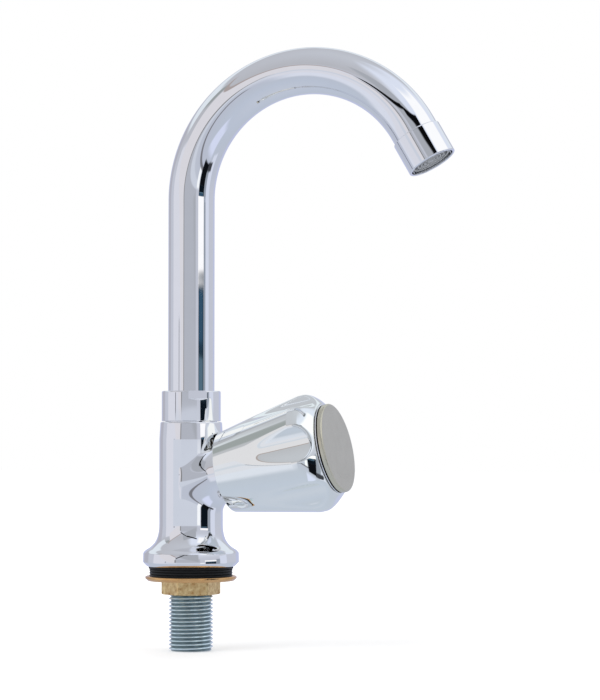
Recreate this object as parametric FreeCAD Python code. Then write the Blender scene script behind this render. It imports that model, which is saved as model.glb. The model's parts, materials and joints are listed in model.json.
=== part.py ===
import FreeCAD, Part
import math
import os

# Single pillar tap with a swivel swan-neck spout and a fluted side handle.
# Lengths are in millimetres and angles in degrees. Z points up and z = 0 is the underside of
# the flange. The pillar's axis is the Z axis. Spout and handle point along +X.

# Body casting
FLANGE_R = 22.8
FLANGE_SIDE_TOP = 6.0
FLANGE_UNDERCUT = 1.9
FLANGE_SHOULDER = 1.3
SEAT_RING_R = 20.9
BODY_R = 15.1
BODY_TAPER = 0.5
BODY_TOP = 68.3
BODY_RIM_ROUND = 0.7
FLARE_TOP = 20.0
FLARE_FOOT_R = 21.1
FLARE_FOOT_Z = 7.9
AXIS_Z = 40.5
AXIS_TILT = 12.0
BOSS_R = 13.0
BOSS_END_BAND = 1.42
BOSS_FILLET_TOP = 2.2
BOSS_FILLET_FOOT = 5.5

# Water ways inside the casting
LOWER_CHAMBER_R = 8.0
LOWER_CHAMBER_TOP = 27.0
WATERWAY_R = 4.5
INLET_X = -6.5
OUTLET_X = 3.0
OUTLET_R = 5.0
SEAT_BORE_R = 4.5
SEAT_LIP_R = 6.0
SEAT_LIP_HEIGHT = 1.5
CHAMBER_R = 8.8

# Shank with its half-inch pipe thread, modelled at the thread's crests
PIPE_THREAD_R = 10.4775
SHANK_BORE_R = 7.2
SHANK_LENGTH = 39.8
SHANK_ENGAGED = 13.0
SHANK_CHAMFER = 1.0
SHANK_SEAL_THICK = 1.5
THREAD_CLEARANCE = 0.05

# Gasket, clamp washer and backnut under the deck
GASKET_RECESS_R = 20.25
GASKET_RECESS_DEPTH = 1.0
GASKET_EASE = 0.15
GASKET_HANG = 5.1
GASKET_BODY_R = 19.35
GASKET_RIDGE = 0.35
GASKET_RIDGES = 3
GASKET_LIP = 1.2
CLAMP_GAP = 0.3
CLAMP_WASHER_R = 21.7
CLAMP_WASHER_THICK = 1.5
CLAMP_RIM_RISE = 0.8
CLAMP_RIM_WIDTH = 1.3
CLAMP_WASHER_EASE = 0.4
NUT_FACE_GAP = 0.12
NUT_ACROSS_FLATS = 24.6
NUT_HEIGHT = 6.3
NUT_CHAMFER = 0.9
NUT_TURN = 26.0

# Spout fixing on top of the casting
SPIGOT_R = 12.2
SPIGOT_HEIGHT = 10.0
SOCKET_R = 9.6
SOCKET_FLOOR = 57.5
RUNNING_CLEARANCE = 0.06
END_PLAY = 0.15
COLLAR_R = 14.0
COLLAR_LIP = 1.4
COLLAR_FOOT_GAP = 0.35
COLLAR_ROUND = 0.8
SPANNER_FLATS = 2
SPANNER_FLAT_DEPTH = 0.8
SPANNER_FLAT_HEIGHT = 3.6
SPANNER_FLAT_TURN = -54.5
BEARING_RING_THICK = 1.0
TAIL_FLANGE_THICK = 2.0
TAIL_BORE_R = 6.3
TAIL_PLUG = 6.0
TAIL_FOOT_GAP = 1.2
O_RING_SECTION_R = 0.85
O_RING_INSET = 4.0
O_RING_SPACING = 6.5
TUBE_PASS = 0.2

# Spout tube
TUBE_R = 11.0
TUBE_WALL = 1.5
RISER_LENGTH = 92.4
BEND_RADIUS = 59.3
BEND_ANGLE = 150.0
TUBE_END_STRAIGHT = 3.0
TUBE_THREAD_LENGTH = 6.5
TUBE_THREAD_DEPTH = 0.55

# Aerator in the spout's mouth
AERATOR_R = 11.75
AERATOR_LENGTH = 15.5
AERATOR_EDGE = 0.45
AERATOR_WASHER_THICK = 1.3
AERATOR_WASHER_OVERLAP = 1.0
JET_DISC_THICK = 1.0
JET_HOLES = 12
JET_HOLE_R = 0.6
JET_CIRCLE_R = 5.5
CAGE_FLANGE_THICK = 1.5
CAGE_EASE = 0.1
CAGE_WALL = 0.9
CAGE_RECESS = 1.1
LEDGE_WIDTH = 1.0
LEDGE_THICK = 1.0
MOUTH_WALL = 1.2
GRILLE_THICK = 1.0
GRILLE_RINGS = 4
GRILLE_SPOKES = 8
GRILLE_BAR = 0.55
GRILLE_HUB_R = 0.9
MESH_THICK = 0.4

# Headwork: the bonnet, its spindle and the valve that it lifts
BONNET_PLUG = 11.0
BONNET_WASHER_THICK = 1.5
BONNET_FLANGE_THICK = 1.5
BONNET_ACROSS_FLATS = 22.0
BONNET_HEX_HEIGHT = 6.0
NECK_R = 7.0
GUIDE_ACROSS_FLATS = 12.0
GUIDE_CLEARANCE = 0.08
THRUST_WASHER_THICK = 1.0
SPINDLE_COLLAR_R = 5.8
SPINDLE_COLLAR_THICK = 2.0
SPINDLE_R = 4.0
SPINDLE_PLAY = 0.1
SPINDLE_O_RING_R = 0.6
SPINDLE_SEAL_INSET = 3.0
CLIP_THICK = 1.0
CLIP_WIDTH = 1.9
CLIP_DEPTH = 0.5
CLIP_OPENING = 3.0
VALVE_LIFT = 4.5
VALVE_REST_GAP = 0.3
VALVE_WASHER_R = 6.9
VALVE_WASHER_THICK = 3.0
CARRIER_NOSE_R = 5.4
CARRIER_NOSE = 5.0
CARRIER_LENGTH = 13.2
CARRIER_FLOOR = 3.8
CARRIER_STUD_R = 1.5
CARRIER_END_GAP = 0.8
VALVE_NUT_ACROSS_FLATS = 5.0
VALVE_NUT_HEIGHT = 2.2

# Handle
KNOB_RIM_R = 19.2
KNOB_BODY_GAP = 0.1
KNOB_SKIRT_LENGTH = 41.3
KNOB_BAND_LENGTH = 2.6
KNOB_MAX_R = 27.7
KNOB_SHOULDER_LENGTH = 8.6
KNOB_END_R = 21.7
KNOB_WALL = 2.3
KNOB_RIM_ROUND = 0.6
KNOB_BAND_ROUND = 2.2
FLUTES = 6
FLUTE_CENTRE_R = 34.3
FLUTE_R = 11.3
FLUTE_TURN = -100.0
WEB_THICK = 3.0
HUB_R = 8.0
HUB_LENGTH = 17.0
HUB_GAP = 1.2
INSERT_R = 6.0
SPLINE_TEETH = 16
SPLINE_DEPTH = 0.45
SPLINE_CLEARANCE = 0.03
SCREW_R = 2.45
SCREW_HOLE_EASE = 0.3
SCREW_HEAD_R = 4.6
SCREW_HEAD_HEIGHT = 2.4
SCREW_GRIP = 9.0
CAP_R = 21.0
CAP_THICK = 2.2
CAP_EDGE_ROUND = 0.9
CAP_SKIRT_R = 18.4
CAP_SKIRT_WALL = 1.2
CAP_RECESS_DEPTH = 3.8
CAP_EASE = 0.1
CAP_RING_R = 21.2
CAP_RING_THICK = 0.8
CAP_GROOVE = 0.3
CAP_GROOVE_DEPTH = 1.1

FULL_TURN = 360.0
NEAR = 0.01


# Places that follow from the sizes above
TILT = math.radians(AXIS_TILT)
BODY_TOP_R = BODY_R - BODY_TAPER
BOSS_TOP_Z = AXIS_Z + BOSS_R / math.cos(TILT) + BODY_R * math.tan(TILT)
BOSS_TOP_S = (BODY_R + BOSS_R * math.sin(TILT)) / math.cos(TILT)
FILLET_TOP_REACH = BOSS_FILLET_TOP / math.tan(math.pi / 4 - TILT / 2)
BOSS_LENGTH = BOSS_TOP_S + FILLET_TOP_REACH + BOSS_END_BAND
TAPER_START = BOSS_TOP_Z + 1.5 * BOSS_FILLET_TOP

SPIGOT_TOP = BODY_TOP + SPIGOT_HEIGHT
COLLAR_FOOT = BODY_TOP + COLLAR_FOOT_GAP
BEARING_TOP = SPIGOT_TOP + BEARING_RING_THICK
TAIL_FOOT = SOCKET_FLOOR + TAIL_FOOT_GAP
O_RING_PLACES = [TAIL_FOOT + O_RING_INSET + k * O_RING_SPACING for k in range(2)]
O_RING_FLOOR_R = SOCKET_R - RUNNING_CLEARANCE - 2 * O_RING_SECTION_R
O_RING_GROOVE_WIDTH = 2.6 * O_RING_SECTION_R
TAIL_FLANGE_FOOT = BEARING_TOP + END_PLAY
TUBE_FOOT = TAIL_FLANGE_FOOT + TAIL_FLANGE_THICK
LIP_FOOT = TUBE_FOOT + END_PLAY
COLLAR_TOP = LIP_FOOT + COLLAR_LIP
COLLAR_BORE_R = SPIGOT_R + THREAD_CLEARANCE

TUBE_BORE_R = TUBE_R - TUBE_WALL
BEND_Z = TUBE_FOOT + RISER_LENGTH
TUBE_THREAD_R = TUBE_R - TUBE_THREAD_DEPTH
TUBE_END = TUBE_END_STRAIGHT + TUBE_THREAD_LENGTH

JET_TOP = TUBE_END + AERATOR_WASHER_THICK
CAGE_TOP = JET_TOP + JET_DISC_THICK
LEDGE = CAGE_TOP + CAGE_FLANGE_THICK
MOUTH = TUBE_END_STRAIGHT + AERATOR_LENGTH
CAGE_MOUTH = MOUTH - CAGE_RECESS
GRILLE_TOP = CAGE_MOUTH - GRILLE_THICK
CAGE_BORE_R = TUBE_THREAD_R + THREAD_CLEARANCE
CAGE_SKIRT_R = CAGE_BORE_R - LEDGE_WIDTH - CAGE_EASE
CAGE_INNER_R = CAGE_SKIRT_R - CAGE_WALL

CLAMP_TOP = -GASKET_HANG - CLAMP_GAP
CLAMP_FOOT = CLAMP_TOP - CLAMP_WASHER_THICK
NUT_TOP = CLAMP_FOOT - NUT_FACE_GAP
NUT_FOOT = NUT_TOP - NUT_HEIGHT

VALVE_FACE = SEAT_LIP_HEIGHT + VALVE_REST_GAP
CARRIER_FOOT = VALVE_FACE + VALVE_WASHER_THICK
CARRIER_TOP = CARRIER_FOOT + CARRIER_LENGTH
BONNET_FOOT = BOSS_LENGTH - BONNET_PLUG
BONNET_SEAT = BOSS_LENGTH + BONNET_WASHER_THICK
HEX_FOOT = BONNET_SEAT + BONNET_FLANGE_THICK
HEX_TOP = HEX_FOOT + BONNET_HEX_HEIGHT
COLLAR_S = CARRIER_TOP + VALVE_LIFT + CARRIER_END_GAP
NECK_FOOT = COLLAR_S + SPINDLE_COLLAR_THICK + THRUST_WASHER_THICK + SPINDLE_PLAY

KNOB_RIM_S = (BODY_R + KNOB_BODY_GAP + KNOB_RIM_R * math.sin(TILT)) / math.cos(TILT)
BAND_S = KNOB_RIM_S + KNOB_SKIRT_LENGTH
SHOULDER_S = BAND_S + KNOB_BAND_LENGTH
KNOB_END_S = SHOULDER_S + KNOB_SHOULDER_LENGTH
CAP_FOOT = KNOB_END_S + CAP_RING_THICK + 2 * CAP_GROOVE
WEB_TOP = KNOB_END_S - CAP_RECESS_DEPTH
WEB_FOOT = WEB_TOP - WEB_THICK
HUB_FOOT = WEB_FOOT - HUB_LENGTH
CLIP_FOOT = HUB_FOOT - HUB_GAP - CLIP_THICK
NECK_TOP = CLIP_FOOT - SPINDLE_PLAY
SPINDLE_SEALS = (NECK_FOOT + SPINDLE_SEAL_INSET, NECK_TOP - SPINDLE_SEAL_INSET)
SPINDLE_GROOVE_R = SPINDLE_R - 2 * SPINDLE_O_RING_R
SPINDLE_FOOT = CARRIER_FOOT + CARRIER_FLOOR + VALVE_LIFT + VALVE_REST_GAP
SPINDLE_TOP = WEB_FOOT - SPINDLE_PLAY


def outline(*steps):
    """A closed wire in the XZ plane. A step (r, z) is a straight side to that point, a step
    ((r, z), (r, z)) an arc through the first point to the second, and a step of three points
    the rest of a cubic curve that starts where the last step ended."""
    spots = [FreeCAD.Vector(steps[0][0], 0, steps[0][1])]
    edges = []
    for step in steps[1:] + (steps[0],):
        here = spots[-1]
        if not isinstance(step[0], tuple):
            there = FreeCAD.Vector(step[0], 0, step[1])
            if there.distanceToPoint(here) > 1e-7:
                edges.append(Part.LineSegment(here, there).toShape())
        else:
            poles = [FreeCAD.Vector(r, 0, z) for r, z in step]
            there = poles[-1]
            if len(poles) == 2:
                edges.append(Part.Arc(here, poles[0], there).toShape())
            else:
                curve = Part.BezierCurve()
                curve.setPoles([here] + poles)
                edges.append(curve.toShape())
        spots.append(there)
    return Part.Wire(edges)


def revolved(*steps):
    """The outline turned about Z."""
    face = Part.Face(outline(*steps))
    return face.revolve(FreeCAD.Vector(0, 0, 0), FreeCAD.Vector(0, 0, 1), FULL_TURN)


def ring(inner_r, outer_r, low, high):
    """A flat-sided ring about Z."""
    return revolved((inner_r, low), (outer_r, low), (outer_r, high), (inner_r, high))


def rod(radius, low, high, x=0.0, y=0.0):
    """A cylinder parallel to Z."""
    return Part.makeCylinder(radius, high - low, FreeCAD.Vector(x, y, low))


def rounded(before, corner, after, reach):
    """Two steps of an outline that round a corner: a side that ends short of it by reach and
    an arc that ends as far past it."""
    corner = FreeCAD.Vector(corner[0], 0, corner[1])
    back = (FreeCAD.Vector(before[0], 0, before[1]) - corner).normalize()
    onward = (FreeCAD.Vector(after[0], 0, after[1]) - corner).normalize()
    inward = (back + onward).normalize()
    half = back.getAngle(inward)
    middle = corner + inward * (reach / math.cos(half) - reach * math.tan(half))
    start, end = corner + back * reach, corner + onward * reach
    return [(start.x, start.z), ((middle.x, middle.z), (end.x, end.z))]


def o_ring(centre_r, section_r, z):
    """A rubber ring of round section about Z."""
    return Part.makeTorus(centre_r, section_r, FreeCAD.Vector(0, 0, z))


def prism(points, low, high):
    """A straight prism over a closed polygon of (x, y) points."""
    loop = [FreeCAD.Vector(x, y, low) for x, y in points + points[:1]]
    face = Part.Face(Part.makePolygon(loop))
    return face.extrude(FreeCAD.Vector(0, 0, high - low))


def spot(radius, degrees):
    """The point at a radius and an angle about Z."""
    return (radius * math.cos(math.radians(degrees)), radius * math.sin(math.radians(degrees)))


def hexagon(across_flats, low, high, turn=0.0):
    """A hexagonal prism about Z with a corner at the angle turn."""
    corner_r = across_flats / 2 / math.cos(math.pi / 6)
    return prism([spot(corner_r, turn + 60 * k) for k in range(6)], low, high)


def splined(tip_r, low, high):
    """A prism with straight-sided spline teeth about Z."""
    points = []
    for k in range(2 * SPLINE_TEETH):
        radius = tip_r if k % 2 else tip_r - SPLINE_DEPTH
        points.append(spot(radius, 180 * k / SPLINE_TEETH))
    return prism(points, low, high)


def on_knob_axis(shape):
    """Moves a shape that was drawn about Z to the handle's axis, with z as the distance from
    the pillar's axis."""
    turn = FreeCAD.Rotation(FreeCAD.Vector(0, 1, 0), 90 - AXIS_TILT)
    shape.Placement = FreeCAD.Placement(FreeCAD.Vector(0, 0, AXIS_Z), turn)
    return shape


def at_outlet(shape):
    """Moves a shape that was drawn about Z to the spout's straight end, with z as the distance
    past the end of the bend."""
    turn = math.radians(BEND_ANGLE)
    place = FreeCAD.Vector(
        BEND_RADIUS * (1 - math.cos(turn)), 0, BEND_Z + BEND_RADIUS * math.sin(turn)
    )
    shape.Placement = FreeCAD.Placement(
        place, FreeCAD.Rotation(FreeCAD.Vector(0, 1, 0), BEND_ANGLE)
    )
    return shape


def casting_outside():
    """Flange, flared foot, tapering pillar, spout spigot and the filleted headwork boss."""
    flare_height = FLARE_TOP - FLARE_FOOT_Z
    flare_width = FLARE_FOOT_R - BODY_R
    pillar = revolved(
        (0, 0),
        (SEAT_RING_R, 0),
        (FLANGE_R, FLANGE_UNDERCUT),
        (FLANGE_R, FLANGE_SIDE_TOP),
        (
            (FLANGE_R - 0.3 * FLANGE_SHOULDER, FLANGE_SIDE_TOP + 0.75 * FLANGE_SHOULDER),
            (FLARE_FOOT_R, FLARE_FOOT_Z),
        ),
        (
            (FLARE_FOOT_R - 0.6 * flare_width, FLARE_FOOT_Z + 0.16 * flare_height),
            (BODY_R, FLARE_FOOT_Z + 0.4 * flare_height),
            (BODY_R, FLARE_TOP),
        ),
        (BODY_R, TAPER_START),
        (BODY_TOP_R, BODY_TOP - BODY_RIM_ROUND),
        (BODY_TOP_R - BODY_RIM_ROUND, BODY_TOP),
        (SPIGOT_R, BODY_TOP),
        (SPIGOT_R, SPIGOT_TOP),
        (0, SPIGOT_TOP),
    )
    boss = on_knob_axis(rod(BOSS_R, 0, BOSS_LENGTH))
    return round_boss(pillar.fuse(boss))


def off_knob_axis(point):
    """Distance of a point from the handle's axis."""
    along = point.x * math.cos(TILT) + (point.z - AXIS_Z) * math.sin(TILT)
    square = point.x**2 + point.y**2 + (point.z - AXIS_Z) ** 2 - along**2
    return math.sqrt(max(square, 0.0))


def round_boss(blank):
    """Fillets the line where the boss leaves the pillar, wider at its foot than at its top.
    One half is rounded and mirrored, so that the fillet widens evenly down both sides."""
    reach = BOSS_LENGTH + FLANGE_R
    corner = FreeCAD.Vector(-reach, 0, -reach)
    half = blank.common(Part.makeBox(2 * reach, reach, SPIGOT_TOP + 2 * reach, corner))
    for edge in half.Edges:
        middle = edge.valueAt((edge.FirstParameter + edge.LastParameter) / 2)
        on_boss = abs(off_knob_axis(middle) - BOSS_R) < NEAR
        on_pillar = abs(math.hypot(middle.x, middle.y) - BODY_R) < NEAR
        if on_boss and on_pillar:
            crease = edge
    rises = crease.valueAt(crease.LastParameter).z > crease.valueAt(crease.FirstParameter).z
    first, last = BOSS_FILLET_FOOT, BOSS_FILLET_TOP
    if not rises:
        first, last = last, first
    half = half.makeFillet(first, last, [crease])
    other = half.mirror(FreeCAD.Vector(0, 0, 0), FreeCAD.Vector(0, 1, 0))
    return half.fuse(other).removeSplitter()


def body_casting():
    """The casting with its water ways bored out. Water comes up behind the valve seat, passes
    the seat towards the handle and leaves through the spout socket above."""
    hollows = [
        rod(GASKET_RECESS_R, 0, GASKET_RECESS_DEPTH),
        rod(PIPE_THREAD_R + THREAD_CLEARANCE, 0, SHANK_ENGAGED + SHANK_SEAL_THICK),
        rod(LOWER_CHAMBER_R, SHANK_ENGAGED, LOWER_CHAMBER_TOP),
        rod(WATERWAY_R, LOWER_CHAMBER_TOP - WATERWAY_R, AXIS_Z, x=INLET_X),
        on_knob_axis(rod(SEAT_BORE_R, INLET_X, SEAT_LIP_HEIGHT)),
        on_knob_axis(ring(SEAT_LIP_R, CHAMBER_R, 0, SEAT_LIP_HEIGHT)),
        on_knob_axis(rod(CHAMBER_R, SEAT_LIP_HEIGHT, BOSS_LENGTH)),
        on_knob_axis(rod(PIPE_THREAD_R + THREAD_CLEARANCE, BONNET_FOOT, BOSS_LENGTH)),
        rod(OUTLET_R, AXIS_Z + CHAMBER_R - SEAT_LIP_HEIGHT, SOCKET_FLOOR, x=OUTLET_X),
        rod(SOCKET_R, SOCKET_FLOOR, SPIGOT_TOP),
    ]
    return casting_outside().cut(hollows)


def threaded_shank():
    """Supply pipe stub, screwed up into the casting."""
    return revolved(
        (SHANK_BORE_R, -SHANK_LENGTH),
        (PIPE_THREAD_R - SHANK_CHAMFER, -SHANK_LENGTH),
        (PIPE_THREAD_R, SHANK_CHAMFER - SHANK_LENGTH),
        (PIPE_THREAD_R, SHANK_ENGAGED),
        (SHANK_BORE_R, SHANK_ENGAGED),
    )


def shank_seal():
    """Fibre ring between the shank's end and the casting."""
    return ring(SHANK_BORE_R, PIPE_THREAD_R, SHANK_ENGAGED, SHANK_ENGAGED + SHANK_SEAL_THICK)


def base_gasket():
    """Rubber gasket with a lip that sits in the flange's recess and ridges around its side."""
    bore_r = PIPE_THREAD_R + GASKET_EASE
    lip_r = GASKET_RECESS_R - GASKET_EASE
    ridge = (GASKET_HANG - GASKET_LIP) / GASKET_RIDGES
    steps = [
        (bore_r, GASKET_RECESS_DEPTH),
        (lip_r, GASKET_RECESS_DEPTH),
        (lip_r, -GASKET_LIP),
        (GASKET_BODY_R, -GASKET_LIP),
    ]
    for k in range(GASKET_RIDGES):
        top = -GASKET_LIP - k * ridge
        crown = (GASKET_BODY_R + GASKET_RIDGE, top - ridge / 2)
        steps.append((crown, (GASKET_BODY_R, top - ridge)))
    steps.append((bore_r, -GASKET_HANG))
    return revolved(*steps)


def clamp_washer():
    """Dished brass washer with a rolled rim, loose on the shank under the gasket."""
    rim_top = CLAMP_TOP + CLAMP_RIM_RISE
    rim_foot_r = CLAMP_WASHER_R - CLAMP_RIM_WIDTH
    roll = CLAMP_RIM_WIDTH / 2
    return revolved(
        (PIPE_THREAD_R + CLAMP_WASHER_EASE, CLAMP_FOOT),
        (rim_foot_r, CLAMP_FOOT),
        (
            (CLAMP_WASHER_R - 0.3 * roll, CLAMP_FOOT + 0.4 * CLAMP_WASHER_THICK),
            (CLAMP_WASHER_R, rim_top - roll),
        ),
        (
            (CLAMP_WASHER_R - 0.3 * roll, rim_top - 0.3 * roll),
            (CLAMP_WASHER_R - roll, rim_top),
        ),
        (rim_foot_r - CLAMP_RIM_RISE, CLAMP_TOP),
        (PIPE_THREAD_R + CLAMP_WASHER_EASE, CLAMP_TOP),
    )


def backnut():
    """Cast brass hexagon nut on the shank's thread, with its lower corners turned down."""
    corner_r = NUT_ACROSS_FLATS / 2 / math.cos(math.pi / 6)
    envelope = revolved(
        (PIPE_THREAD_R + THREAD_CLEARANCE, NUT_FOOT),
        (corner_r - NUT_CHAMFER, NUT_FOOT),
        (corner_r, NUT_FOOT + NUT_CHAMFER / 2),
        (corner_r, NUT_TOP),
        (PIPE_THREAD_R + THREAD_CLEARANCE, NUT_TOP),
    )
    return envelope.common(hexagon(NUT_ACROSS_FLATS, NUT_FOOT, NUT_TOP, NUT_TURN))


def spanner_flat(degrees):
    """What a flat for a spanner takes off the collar's rim. Its foot slopes out at 45 degrees."""
    face_r = COLLAR_R - SPANNER_FLAT_DEPTH
    outer_r = COLLAR_R + SPANNER_FLAT_DEPTH
    foot = COLLAR_TOP - SPANNER_FLAT_HEIGHT
    top = COLLAR_TOP + SPANNER_FLAT_DEPTH
    side = outline((face_r, foot), (outer_r, foot + face_r - outer_r), (outer_r, top), (face_r, top))
    side.translate(FreeCAD.Vector(0, -COLLAR_R, 0))
    cutter = Part.Face(side).extrude(FreeCAD.Vector(0, 2 * COLLAR_R, 0))
    cutter.rotate(FreeCAD.Vector(0, 0, 0), FreeCAD.Vector(0, 0, 1), degrees)
    return cutter


def spout_collar_nut():
    """Smooth sleeve nut that screws over the casting's spigot and keeps the spout down."""
    pass_r = TUBE_R + TUBE_PASS
    sleeve = revolved(
        (COLLAR_BORE_R, COLLAR_FOOT),
        (COLLAR_R, COLLAR_FOOT),
        *rounded((COLLAR_R, COLLAR_FOOT), (COLLAR_R, COLLAR_TOP), (0, COLLAR_TOP), COLLAR_ROUND),
        (pass_r, COLLAR_TOP),
        (pass_r, LIP_FOOT),
        (COLLAR_BORE_R, LIP_FOOT),
    )
    turns = [SPANNER_FLAT_TURN + FULL_TURN * k / SPANNER_FLATS for k in range(SPANNER_FLATS)]
    return sleeve.cut([spanner_flat(turn) for turn in turns])


def spout_bearing_ring():
    """Slip ring that the spout's flange turns on."""
    return ring(SOCKET_R, SPIGOT_R, SPIGOT_TOP, BEARING_TOP)


def spout_tail():
    """Turned ferrule in the spout's foot, with a retaining flange and two O-ring grooves."""
    tail_r = SOCKET_R - RUNNING_CLEARANCE
    flange_r = COLLAR_BORE_R - RUNNING_CLEARANCE
    plug_r = TUBE_BORE_R - THREAD_CLEARANCE
    tail = revolved(
        (TAIL_BORE_R, TAIL_FOOT),
        (tail_r, TAIL_FOOT),
        (tail_r, TAIL_FLANGE_FOOT),
        (flange_r, TAIL_FLANGE_FOOT),
        (flange_r, TUBE_FOOT),
        (plug_r, TUBE_FOOT),
        (plug_r, TUBE_FOOT + TAIL_PLUG),
        (TAIL_BORE_R, TUBE_FOOT + TAIL_PLUG),
    )
    reach = O_RING_GROOVE_WIDTH / 2
    grooves = [ring(O_RING_FLOOR_R, SOCKET_R, z - reach, z + reach) for z in O_RING_PLACES]
    return tail.cut(grooves)


def spout_o_rings():
    """The two O-rings that seal the spout in its socket."""
    centre_r = SOCKET_R - RUNNING_CLEARANCE / 2 - O_RING_SECTION_R
    return Part.makeCompound([o_ring(centre_r, O_RING_SECTION_R, z) for z in O_RING_PLACES])


def swan_neck(radius, straight):
    """A round bar along the spout: riser, bend and a straight end of the given length."""
    foot = Part.Face(Part.Wire(Part.makeCircle(radius, FreeCAD.Vector(0, 0, BEND_Z))))
    centre = FreeCAD.Vector(BEND_RADIUS, 0, BEND_Z)
    bend = foot.revolve(centre, FreeCAD.Vector(0, 1, 0), BEND_ANGLE)
    riser = rod(radius, TUBE_FOOT, BEND_Z)
    return riser.fuse([bend, at_outlet(rod(radius, 0, straight))]).removeSplitter()


def spout_tube():
    """Bent swan-neck tube with a turned-down thread at its mouth."""
    outside = swan_neck(TUBE_R, TUBE_END_STRAIGHT)
    thread = at_outlet(rod(TUBE_THREAD_R, 0, TUBE_END))
    return outside.fuse(thread).cut(swan_neck(TUBE_BORE_R, TUBE_END))


def aerator_shell():
    """Plated sleeve that screws over the tube's thread and holds the aerator on a ledge."""
    mouth_r = AERATOR_R - MOUTH_WALL
    foot = TUBE_END_STRAIGHT
    shell = revolved(
        (CAGE_BORE_R, foot),
        *rounded((CAGE_BORE_R, foot), (AERATOR_R, foot), (AERATOR_R, MOUTH), AERATOR_EDGE),
        *rounded((AERATOR_R, foot), (AERATOR_R, MOUTH), (mouth_r, MOUTH), AERATOR_EDGE),
        (mouth_r, MOUTH),
        (mouth_r, LEDGE + LEDGE_THICK),
        (CAGE_BORE_R - LEDGE_WIDTH, LEDGE + LEDGE_THICK),
        (CAGE_BORE_R - LEDGE_WIDTH, LEDGE),
        (CAGE_BORE_R, LEDGE),
    )
    return at_outlet(shell)


def aerator_washer():
    """Rubber ring that seals the aerator against the tube's end."""
    inner_r = TUBE_BORE_R - AERATOR_WASHER_OVERLAP
    return at_outlet(ring(inner_r, CAGE_BORE_R - CAGE_EASE, TUBE_END, JET_TOP))


def aerator_jet_disc():
    """Perforated disc that splits the flow into jets."""
    disc = rod(CAGE_BORE_R - CAGE_EASE, JET_TOP, CAGE_TOP)
    holes = []
    for k in range(JET_HOLES):
        x, y = spot(JET_CIRCLE_R, FULL_TURN * k / JET_HOLES)
        holes.append(rod(JET_HOLE_R, JET_TOP, CAGE_TOP, x, y))
    return at_outlet(disc.cut(holes))


def aerator_cage():
    """Moulded cup that hangs through the ledge, with concentric bars and spokes below."""
    cup = revolved(
        (CAGE_INNER_R, CAGE_TOP),
        (CAGE_BORE_R - CAGE_EASE, CAGE_TOP),
        (CAGE_BORE_R - CAGE_EASE, LEDGE),
        (CAGE_SKIRT_R, LEDGE),
        (CAGE_SKIRT_R, CAGE_MOUTH),
        (CAGE_INNER_R, CAGE_MOUTH),
    )
    bars = [rod(GRILLE_HUB_R, GRILLE_TOP, CAGE_MOUTH)]
    for k in range(1, GRILLE_RINGS + 1):
        middle = CAGE_INNER_R * k / (GRILLE_RINGS + 1)
        inner_r, outer_r = middle - GRILLE_BAR / 2, middle + GRILLE_BAR / 2
        bars.append(ring(inner_r, outer_r, GRILLE_TOP, CAGE_MOUTH))
    for k in range(GRILLE_SPOKES):
        corner = FreeCAD.Vector(0, -GRILLE_BAR / 2, GRILLE_TOP)
        spoke = Part.makeBox(CAGE_INNER_R + CAGE_WALL / 2, GRILLE_BAR, GRILLE_THICK, corner)
        turn = FULL_TURN * k / GRILLE_SPOKES
        spoke.rotate(FreeCAD.Vector(0, 0, 0), FreeCAD.Vector(0, 0, 1), turn)
        bars.append(spoke)
    return at_outlet(cup.fuse(bars).removeSplitter())


def aerator_mesh():
    """Fine strainer disc that lies on the cage's grille."""
    return at_outlet(rod(CAGE_INNER_R - CAGE_EASE, GRILLE_TOP - MESH_THICK, GRILLE_TOP))


def headwork_bonnet():
    """Hexagonal bonnet that screws into the boss. Its broached bore guides the valve carrier
    and its neck carries the spindle."""
    outside = revolved(
        (0, BONNET_FOOT),
        (PIPE_THREAD_R, BONNET_FOOT),
        (PIPE_THREAD_R, BONNET_SEAT),
        (BOSS_R, BONNET_SEAT),
        (BOSS_R, HEX_FOOT),
        (NECK_R, HEX_FOOT),
        (NECK_R, NECK_TOP),
        (0, NECK_TOP),
    )
    hollows = [
        hexagon(GUIDE_ACROSS_FLATS, BONNET_FOOT, NECK_FOOT),
        rod(SPINDLE_R + RUNNING_CLEARANCE, NECK_FOOT, NECK_TOP),
    ]
    bonnet = outside.fuse(hexagon(BONNET_ACROSS_FLATS, HEX_FOOT, HEX_TOP)).cut(hollows)
    return on_knob_axis(bonnet)


def bonnet_washer():
    """Fibre washer between the boss and the bonnet's flange."""
    inner_r = PIPE_THREAD_R + THREAD_CLEARANCE
    return on_knob_axis(ring(inner_r, BOSS_R, BOSS_LENGTH, BONNET_SEAT))


def spindle():
    """Spindle that turns without rising: a thread for the carrier, a thrust collar, two
    O-ring grooves, a circlip groove and a splined end with a tapped hole."""
    bar = revolved(
        (0, SPINDLE_FOOT),
        (SPINDLE_R, SPINDLE_FOOT),
        (SPINDLE_R, COLLAR_S),
        (SPINDLE_COLLAR_R, COLLAR_S),
        (SPINDLE_COLLAR_R, COLLAR_S + SPINDLE_COLLAR_THICK),
        (SPINDLE_R, COLLAR_S + SPINDLE_COLLAR_THICK),
        (SPINDLE_R, HUB_FOOT),
        (0, HUB_FOOT),
    )
    reach = 1.3 * SPINDLE_O_RING_R
    cuts = [ring(SPINDLE_GROOVE_R, SPINDLE_R, z - reach, z + reach) for z in SPINDLE_SEALS]
    cuts.append(ring(SPINDLE_R - CLIP_DEPTH, SPINDLE_R, CLIP_FOOT, CLIP_FOOT + CLIP_THICK))
    teeth = splined(SPINDLE_R, HUB_FOOT, SPINDLE_TOP)
    cuts.append(rod(SCREW_R + THREAD_CLEARANCE, SPINDLE_TOP - SCREW_GRIP - 1, SPINDLE_TOP))
    return on_knob_axis(bar.fuse(teeth).cut(cuts))


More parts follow.
